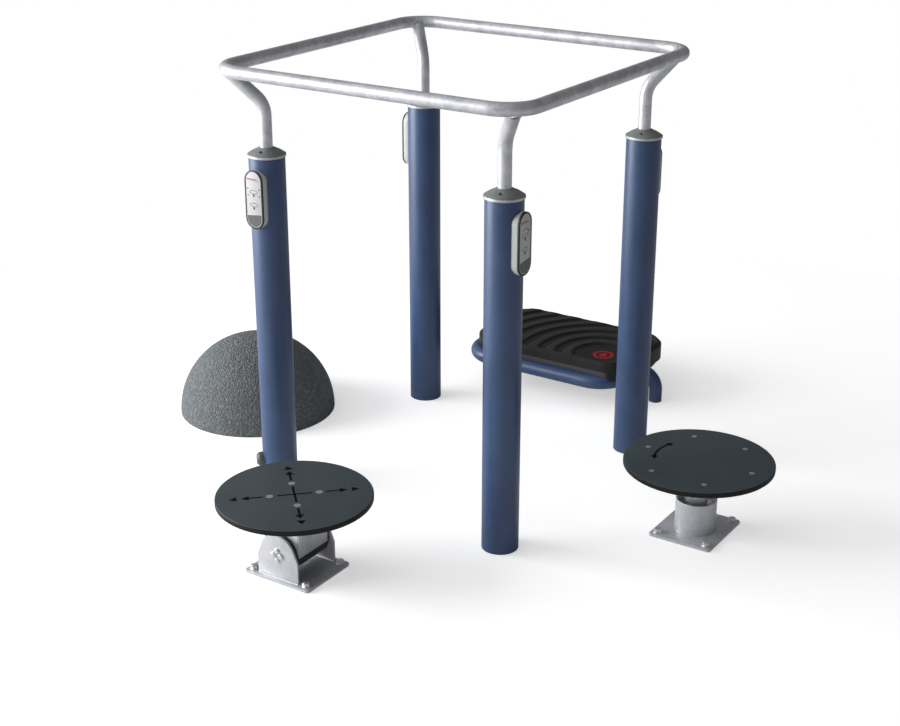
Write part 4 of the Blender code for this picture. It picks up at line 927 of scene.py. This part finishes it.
def makeAnchors(prefix):
    anchor = {"flats": 19 * mm, "head": 8 * mm, "washer": 12 * mm, "washerHeight": 2.5 * mm, "seat": 8.3 * mm,
              "firstTurn": 0.4, "nextTurn": 0.9}
    for index in range(4):
        node = prefix + "_anchor_" + str(index + 1)
        work = hexBolt(anchor["flats"], anchor["head"], anchor["washer"], anchor["washerHeight"],
                       anchor["seat"])
        spin = moveTo(0, 0, anchor["seat"]) @ turnBy(anchor["firstTurn"] + index * anchor["nextTurn"])
        finishPiece(prefix + "Bolt_" + str(index + 1), work, "bolt", [node], place=footOf(node) @ spin)


def makeTiltBase():
    ear = {"halfWidth": 66 * mm, "shoulder": 66 * mm, "axis": 76 * mm, "thick": 6 * mm, "span": 160 * mm,
           "edge": 0.8 * mm, "sunk": 1 * mm, "weldHalf": 20}
    top = nodeBox("tilt_base")[1].z - ear["axis"]
    shoulder = Vector((ear["halfWidth"], ear["shoulder"] - ear["axis"]))
    tangent = math.atan2(shoulder.y, shoulder.x) + math.acos(top / shoulder.length)
    low = groundSheet["thick"] - ear["sunk"]
    outline = [(ear["halfWidth"], low), (ear["halfWidth"], ear["shoulder"])]
    outline += arcPoints(0, ear["axis"], top, tangent, math.pi - tangent, steps=36)
    outline += [(-ear["halfWidth"], ear["shoulder"]), (-ear["halfWidth"], low)]
    work = groundPlate("tilt_base")
    for outer in (ear["thick"] - ear["span"] / 2, ear["span"] / 2):
        addPart(work, slab(outline, 0, ear["thick"], ear["edge"]), moveTo(0, outer) @ turnBy(quarter, "X"))
    finishPiece("tiltFoot", work, "zincFoot", ["tilt_base"], place=tiltFoot)
    welds = bmesh.new()
    for side in (-1, 1):
        for face in (0, -ear["thick"]):
            run = [(ear["halfWidth"] * (index / ear["weldHalf"] - 1), side * (ear["span"] / 2 + face),
                    groundSheet["thick"] + weldSize["footLift"])
                   for index in range(2 * ear["weldHalf"] + 1)]
            addPart(welds, bead(run, weldSize["foot"], closed=False))
    finishPiece("tiltFootWelds", welds, "weld", place=tiltFoot)


# torsion units, carrier and head of the tilting disc

def makeCore(name, node, body, axis, seat, offset, flats, headHeight, size):
    # a square bar with four bolts in a diamond on each end
    core = {"washer": 0.56 * flats, "washerHeight": 1.0 * mm, "cornerEdge": 1.5 * mm, "endEdge": 0.5 * mm,
            "inset": 7 * mm, "firstTurn": 0.2, "nextTurn": 0.35}
    work = bmesh.new()
    for way in (1, -1):
        end = moveTo(*axis * way * seat) @ pointAt(axis * way)
        for index, (x, y) in enumerate(circle(offset, steps=4)):
            bolt = hexBolt(flats, headHeight, core["washer"], core["washerHeight"])
            spin = turnBy(core["firstTurn"] + index * core["nextTurn"])
            addPart(work, bolt, end @ moveTo(x, y) @ spin)
    bar = slab(roundedRectangle(size / 2, size / 2, core["cornerEdge"], steps=4), core["inset"] - seat,
               seat - core["inset"], core["endEdge"])
    addPart(work, bar, pointAt(axis) @ turnBy(quarter / 2))
    finishPiece(name, work, "bolt", [node], body, tiltFoot @ moveTo(0, 0, nodeCentre(node).z))


def makeTorsionUnits():
    housing = {"node": "tilt_lower_housing", "wall": 8 * mm, "edge": 1.5 * mm}
    alongX, alongY = Vector((1, 0, 0)), Vector((0, 1, 0))
    makeCore("tiltLowerCore", "tilt_lower_core", "frame", alongY,
             seat=80.3 * mm, offset=13 * mm, flats=13 * mm, headHeight=4.3 * mm, size=30 * mm)
    makeCore("tiltUpperCore", "tilt_upper_core", "tilt_middle", alongX,
             seat=57.3 * mm, offset=8 * mm, flats=10 * mm, headHeight=2.8 * mm, size=22 * mm)
    size = nodeSize(housing["node"])
    tube = pipe(size.x / 2, size.x / 2 - housing["wall"], -size.y / 2, size.y / 2, housing["edge"],
                steps=96, rounds=4)
    place = tiltFoot @ moveTo(0, 0, nodeCentre("tilt_lower_core").z) @ pointAt(alongY)
    finishPiece("tiltLowerTube", tube, "housing", [housing["node"]], "tilt_middle", place)
    for node in ("tilt_lower_bush", "tilt_upper_bush"):
        for slot in bpy.data.objects[node].material_slots:
            slot.material = torsionRubber


def makeCarrier():
    wall = {"thick": 6 * mm, "edge": 0.8 * mm, "sideTop": 158 * mm, "crossTop": 150 * mm, "crossLift": 2 * mm,
            "crossGap": 3 * mm, "earCentre": 148 * mm, "earRadius": 30 * mm, "inset": 1 * mm,
            "saddle": 0.25 * mm, "weldGap": 0.6 * mm, "weldEnd": 0.12, "spare": 100 * mm}
    low = nodeBox("tilt_carrier")[0].z
    halfX, halfY = nodeSize("tilt_carrier").x / 2, nodeSize("tilt_carrier").y / 2
    axis = nodeCentre("tilt_lower_core").z
    radius = nodeSize("tilt_lower_housing").x / 2 + wall["saddle"]
    start = math.asin((wall["sideTop"] - wall["earCentre"]) / wall["earRadius"])
    side = [(-halfY, low), (halfY, low), (halfY, wall["sideTop"])]
    side += arcPoints(0, wall["earCentre"], wall["earRadius"], start, math.pi - start, steps=32)
    side += [(-halfY, wall["sideTop"])]
    reach = halfX - wall["crossGap"]
    cross = rectangle(-reach, low + wall["crossLift"], reach, wall["crossTop"])
    faceY = turnBy(quarter, "X")
    faceX = turnBy(quarter) @ faceY
    crossY = halfY - wall["inset"]
    sides, ends = bmesh.new(), bmesh.new()
    for work, outline, place in ((sides, side, moveTo(halfX - wall["thick"], 0) @ faceX),
                                 (sides, side, moveTo(-halfX, 0) @ faceX),
                                 (ends, cross, moveTo(0, wall["thick"] - crossY) @ faceY),
                                 (ends, cross, moveTo(0, crossY) @ faceY)):
        sheet = moved(slab(outline, 0, wall["thick"], wall["edge"]), place)
        saddle = cylinder(radius, -wall["spare"], wall["spare"], steps=96)
        addPart(work, carved(sheet, moved(saddle, moveTo(0, 0, axis) @ faceY)))
    finishPiece("tiltCarrier", sides, "zinc", ["tilt_carrier"], "tilt_middle", tiltFoot)
    # the cross plates take the paler zinc copy: painted light over the shade cast by the ear and the disc
    finishPiece("tiltCarrierEnds", ends, "zincPaintedLight", (), "tilt_middle", tiltFoot)
    # weld beads along the saddle on both cross plates
    welds = bmesh.new()
    arc = arcPoints(0, axis, radius + wall["weldGap"], wall["weldEnd"], math.pi - wall["weldEnd"], steps=50)
    for way in (-1, 1):
        run = [(x, way * (crossY + weldSize["carrierLift"]), z) for x, z in arc]
        addPart(welds, bead(run, weldSize["carrier"], closed=False))
    finishPiece("tiltCarrierWelds", welds, "weld", (), "tilt_middle", tiltFoot)


def makeTiltHead():
    head = {"plate": 6 * mm, "corner": 10 * mm, "barrel": 25.5 * mm, "bore": 21 * mm, "half": 47 * mm,
            "neck": (40 * mm, 23 * mm, 1.5 * mm), "edge": 0.8 * mm, "overlap": 1 * mm, "spare": 80 * mm}
    top = nodeBox("tilt_head")[1].z
    axis = nodeCentre("tilt_upper_core").z
    along = moveTo(0, 0, axis) @ turnBy(quarter, "Y")
    low = top - head["plate"]
    neck = slab(roundedRectangle(*head["neck"], steps=3), axis, low + head["overlap"], head["edge"])
    hollow = cylinder(head["barrel"] - head["overlap"], -head["spare"], head["spare"], steps=64)
    work = carved(neck, moved(hollow, along))
    half = nodeSize("tilt_head") / 2
    outline = roundedRectangle(half.x, half.y, head["corner"], steps=6)
    addPart(work, slab(outline, low, top, head["edge"]))
    finishPiece("tiltHead", work, "zinc", ["tilt_head"], "tilt_top", tiltFoot)
    barrel = pipe(head["barrel"], head["bore"], -head["half"], head["half"], head["edge"], steps=80)
    finishPiece("tiltBarrel", barrel, "zinc", (), "tilt_top", tiltFoot @ along)


# pedestal, bearing and spindle of the spinning disc

def makeSpinBase():
    tube = {"wall": 4 * mm, "edge": 0.9 * mm, "fit": 0.3 * mm, "sunk": 0.5 * mm}
    bore = nodeSize("spin_bearing").x / 2 + tube["fit"]
    outer = bore + tube["wall"]
    finishPiece("spinFoot", groundPlate("spin_base"), "zincFoot", ["spin_base"], place=spinFoot)
    low, high = groundSheet["thick"] - tube["sunk"], nodeBox("spin_base")[1].z
    pedestal = pipe(outer, bore, low, high, tube["edge"], steps=96)
    finishPiece("spinPedestal", pedestal, "turned", place=spinFoot)
    run = [(x, y, groundSheet["thick"] + weldSize["pedestalLift"])
           for x, y in circle(outer + weldSize["pedestalGap"], steps=90)]
    finishPiece("spinFootWeld", bead(run, weldSize["pedestal"]), "weld", place=spinFoot)


def makeSpindle():
    spindle = {"flange": 170 * mm, "flangeThick": 6 * mm, "collar": 34 * mm, "flare": 8 * mm,
               "shaft": 20 * mm, "neck": 30 * mm, "neckTop": 12 * mm, "neckLow": 8 * mm,
               "clear": 1 * mm, "edge": 1.2 * mm}
    low, high = nodeBox("spin_spindle")
    bearingTop = nodeBox("spin_bearing")[1].z
    flangeLow = high.z - spindle["flangeThick"]
    profile = [(0, high.z), (spindle["flange"], high.z), (spindle["flange"], flangeLow),
               (spindle["collar"] + spindle["flare"], flangeLow),
               (spindle["collar"], flangeLow - spindle["flare"]),
               (spindle["collar"], bearingTop + spindle["neckTop"]),
               (spindle["neck"], bearingTop + spindle["neckLow"]),
               (spindle["neck"], bearingTop + spindle["clear"]),
               (spindle["shaft"], bearingTop + spindle["clear"]), (spindle["shaft"], low.z), (0, low.z)]
    shape = turned(profile, spindle["edge"], steps=96)
    finishPiece("spinSpindle", shape, "zinc", ["spin_spindle"], "spin_top", spinFoot)


def makeBearing():
    # inner race, a sunk shield and outer race, then the step down to the bearing's outside
    bearing = {"bore": 20.4, "race": 24, "shield": (24.5, 27), "outerRace": 27.5, "land": 31, "step": 31.5,
               "shieldSunk": 1.2, "stepSunk": 6, "edge": 0.6 * mm}
    low, high = nodeBox("spin_bearing")
    outer = nodeSize("spin_bearing").x / 2
    tops = [(bearing["bore"], 0), (bearing["race"], 0), (bearing["shield"][0], bearing["shieldSunk"]),
            (bearing["shield"][1], bearing["shieldSunk"]), (bearing["outerRace"], 0), (bearing["land"], 0),
            (bearing["step"], bearing["stepSunk"])]
    profile = [(radius * mm, high.z - sunk * mm) for radius, sunk in tops]
    profile += [(outer, high.z - bearing["stepSunk"] * mm), (outer, low.z), (bearing["bore"] * mm, low.z)]
    ring = turned(profile, bearing["edge"], steps=80, closed=True)
    finishPiece("spinBearing", ring, "bearing", ["spin_bearing"], place=spinFoot)


makeAnchors("tilt")
makeAnchors("spin")
makeTiltBase()
makeTorsionUnits()
makeCarrier()
makeTiltHead()
makeSpinBase()
makeSpindle()
makeBearing()
print("mechanisms dressed")


# step

step = {"tube": 24 * mm, "height": 95 * mm, "left": 299 * mm, "right": 255 * mm, "halfWidth": 178 * mm,
        "corner": 95 * mm, "bend": 54 * mm, "reach": 332 * mm, "inner": 200 * mm, "leg": 21.2 * mm,
        "cross": 16.8 * mm, "innerLeg": 15 * mm, "legWeld": 1.8 * mm, "crossWeld": 1.6 * mm,
        "weldLift": 0.5 * mm, "seat": 0.25 * mm}


def stepLoop():
    half = (step["left"] + step["right"]) / 2
    shift = (step["right"] - step["left"]) / 2
    outline = roundedRectangle(half, step["halfWidth"], step["corner"], steps=18)
    return [(x + shift, y, step["height"]) for x, y in outline]


def makeStepFrame():
    level, inner, half = step["height"], -step["inner"], step["halfWidth"]
    leg = [(step["right"], level)]
    leg += arcPoints(step["reach"] - step["bend"], level - step["bend"], step["bend"], quarter, 0, steps=16)
    leg.append((step["reach"], 0))
    work = sweep(stepLoop(), step["tube"], closed=True, sides=14)
    addPart(work, sweep([(x, 0, z) for x, z in leg], step["leg"], sides=14))
    addPart(work, sweep([(inner, -half, level), (inner, half, level)], step["cross"], sides=12))
    addPart(work, sweep([(inner, 0, level), (inner, 0, 0)], step["innerLeg"], sides=12))
    finishPiece("stepTubes", work, "blue", ["step_frame"], place=stepFoot, sharp=40)
    # weld beads where the tubes meet, painted over
    ring = []
    for y, z in circle(step["leg"], steps=48):
        back = math.sqrt(step["tube"] ** 2 - z * z)
        ring.append((step["right"] + back + step["weldLift"], y, level + z))
    welds = bead(ring, step["legWeld"])
    for side in (-1, 1):
        ring = []
        for x, z in circle(step["cross"], steps=40):
            back = math.sqrt(step["tube"] ** 2 - z * z)
            ring.append((inner + x, side * (half - back - step["weldLift"]), level + z))
        addPart(welds, bead(ring, step["crossWeld"]))
    finishPiece("stepWelds", welds, "blue", place=stepFoot)


deckSize = nodeSize("step_deck")
deck = {"halfX": deckSize.x / 2, "halfY": deckSize.y / 2, "corner": 90 * mm, "slope": 14 * mm,
        "border": 12 * mm, "borderDrop": 2.4 * mm, "borderSunk": 2 * mm, "borderRamp": 6 * mm,
        "first": 146 * mm, "pitch": 60.5 * mm, "depth": 6 * mm, "valleyHalf": 19 * mm,
        "ramp": 8 * mm, "cell": 3 * mm, "spare": 6 * mm, "rise": 3 * mm,
        "markX": 182 * mm, "markY": -98 * mm, "markRing": 34 * mm,
        "markWidth": 9 * mm, "markDot": 13 * mm, "markHigh": 0.6 * mm, "markSunk": 0.2 * mm,
        "markGap": 0.001}


def outlineDistance(x, y):
    # distance in from the edge of the deck's rounded rectangle
    offX = abs(x) - (deck["halfX"] - deck["corner"])
    offY = abs(y) - (deck["halfY"] - deck["corner"])
    if offX > 0 and offY > 0:
        return deck["corner"] - math.hypot(offX, offY)
    return deck["corner"] - max(offX, offY)


def smooth(value):
    value = min(max(value, 0), 1)
    return value * value * (3 - 2 * value)


def treadDrop(x, y):
    # how far the tread lies under its ribs: valleys round the mark inside a plain border
    reach = math.hypot(x - deck["markX"], y - deck["markY"])
    valley = 1
    if reach > deck["first"] - deck["pitch"]:
        off = abs((reach - deck["first"] + deck["pitch"] / 2) % deck["pitch"] - deck["pitch"] / 2)
        valley = smooth((deck["valleyHalf"] - off) / deck["ramp"])
    inField = smooth((outlineDistance(x, y) - deck["border"] + deck["borderSunk"]) / deck["borderRamp"])
    return deck["borderDrop"] * (1 - inField) + deck["depth"] * valley * inField


def makeDeck():
    # the tread is a fine grid lifted into ribs, trimmed to the deck's outline and sloped edge
    low, high = nodeBox("step_deck")
    wide = deck["halfX"] + deck["spare"]
    deep = deck["halfY"] + deck["spare"]
    work = bmesh.new()
    bmesh.ops.create_grid(work, x_segments=int(2 * wide / deck["cell"]),
                          y_segments=int(2 * deep / deck["cell"]), size=1,
                          matrix=Matrix.Diagonal((wide, deep, 1, 1)))
    for vert in work.verts:
        vert.co.z = high.z - treadDrop(vert.co.x, vert.co.y)
    rims = [edge for edge in work.edges if edge.is_boundary]
    for vert in vertsIn(bmesh.ops.extrude_edge_only(work, edges=rims)):
        vert.co.z = low.z - deck["spare"]
    bmesh.ops.holes_fill(work, edges=[edge for edge in work.edges if edge.is_boundary], sides=0)
    outline = roundedRectangle(deck["halfX"], deck["halfY"], deck["corner"], steps=20)
    block = slab(outline, low.z, high.z + deck["rise"])
    rims = [edge for edge in block.edges if all(vert.co.z > high.z for vert in edge.verts)]
    bevelEdges(block, rims, deck["slope"] + deck["rise"], segments=1)
    work = moved(carved(work, block, "INTERSECT"), stepFoot)
    tube = sweep(stepLoop(), step["tube"] + step["seat"], closed=True, sides=10)
    finishPiece("stepDeck", carved(work, moved(tube, stepFoot)), "deck", ["step_deck"], sharp=32)
    mark = ringBand(deck["markRing"], deck["markRing"], deck["markWidth"], 0, 0, deck["markHigh"],
                    deck["markGap"], fullTurn - deck["markGap"], steps=64)
    addPart(mark, slab(circle(deck["markDot"], steps=32), 0, deck["markHigh"]))
    valleyFloor = high.z - deck["depth"] - deck["markSunk"]
    spot = moveTo(deck["markX"], deck["markY"], valleyFloor)
    finishPiece("deckMark", mark, "deckMark", place=stepFoot @ spot)


def makeDome():
    dome = {"radius": nodeBox("dome")[1].z, "footEdge": 2 * mm}
    profile = [(0, dome["radius"])] + arcPoints(0, 0, dome["radius"], quarter, 0, steps=48)[1:]
    profile += [(dome["radius"] - dome["footEdge"], 0), (0, 0)]
    finishPiece("rubberDome", lathe(profile, steps=128), "dome", ["dome"], place=footOf("dome"), sharp=50)


makeStepFrame()
makeDeck()
makeDome()
print("step and dome dressed")


# stage, light and camera

def makeStage():
    stage = {"size": 60.0, "plain": 1.3, "white": 2.6, "lift": 0.47, "tone": 0.93, "rough": 0.9, "shine": 0.1}
    work = bmesh.new()
    bmesh.ops.create_grid(work, x_segments=1, y_segments=1, size=stage["size"])
    floor = addObject("floor", toMesh(work, "floor"))
    material = bpy.data.materials.new("paleFloor")
    material.use_nodes = True
    tree = material.node_tree
    shader = tree.nodes["Principled BSDF"]
    shader.inputs["Base Color"].default_value = grey(stage["tone"])
    shader.inputs["Roughness"].default_value = stage["rough"]
    shader.inputs["Specular IOR Level"].default_value = stage["shine"]
    length = addVector(tree, "LENGTH", addNode(tree, "TexCoord")["Object"])["Value"]
    far = addRange(tree, length, stage["plain"], stage["white"])
    # the camera sees a plain white ground that still keeps the object's shadow
    seen = addNode(tree, "LightPath")["Is Camera Ray"]
    strength = addMath(tree, "MULTIPLY", seen, stage["lift"])
    lift = addNode(tree, "Emission", {"Color": grey(1.0), "Strength": strength})
    lifted = addNode(tree, "AddShader", {0: shader.outputs[0], 1: lift[0]})[0]
    glow = addNode(tree, "Emission", {"Color": grey(1.0), "Strength": 1.0})[0]
    mix = addNode(tree, "MixShader", {0: addMath(tree, "MULTIPLY", far, seen), 1: lifted, 2: glow})[0]
    tree.links.new(mix, tree.nodes["Material Output"].inputs["Surface"])
    floor.data.materials.append(material)


def makeWorld():
    sky = {"bright": 0.8, "dim": 0.17, "towards": (-0.75, -0.66, 0.05), "dimFrom": -0.2, "brightFrom": 0.9}
    world = bpy.data.worlds.new("studio")
    world.use_nodes = True
    tree = world.node_tree
    lean = addVector(tree, "DOT_PRODUCT", addNode(tree, "TexCoord")["Generated"], sky["towards"])["Value"]
    level = addRange(tree, lean, sky["dimFrom"], sky["brightFrom"], sky["dim"], sky["bright"])
    strength = addMath(tree, "MAXIMUM", level, addNode(tree, "LightPath")["Is Camera Ray"])
    background = tree.nodes["Background"]
    background.inputs["Color"].default_value = grey(1.0)
    tree.links.new(strength, background.inputs["Strength"])
    bpy.context.scene.world = world


def makeLight():
    key = {"place": (-5.5, -3.64, 2.25), "target": (0, 0, 0.6), "size": (4.8, 4.3), "power": 600}
    lamp = bpy.data.lights.new("keyBox", "AREA")
    lamp.shape = "RECTANGLE"
    lamp.size, lamp.size_y = key["size"]
    lamp.energy = key["power"]
    item = addObject("keyBox", lamp)
    item.location = key["place"]
    aim = Vector(key["target"]) - Vector(key["place"])
    item.rotation_euler = aim.to_track_quat("-Z", "Y").to_euler()


def makeCamera():
    view = {"lens": 62.3, "sensor": 36.0, "elevation": math.radians(21.703), "azimuth": math.radians(33.425),
            "fromCentre": (2.3483, -3.6077, 2.0405)}
    camera = bpy.data.cameras.new("photoView")
    camera.lens = view["lens"]
    camera.sensor_width = view["sensor"]
    camera.sensor_fit = "HORIZONTAL"
    item = addObject("photoView", camera)
    item.location = Vector(view["fromCentre"]) + frameCentre
    item.rotation_euler = (quarter - view["elevation"], 0, view["azimuth"])
    bpy.context.scene.camera = item


makeStage()
makeWorld()
makeLight()
makeCamera()
bpy.context.scene.view_settings.view_transform = "Standard"


print("scene ready")
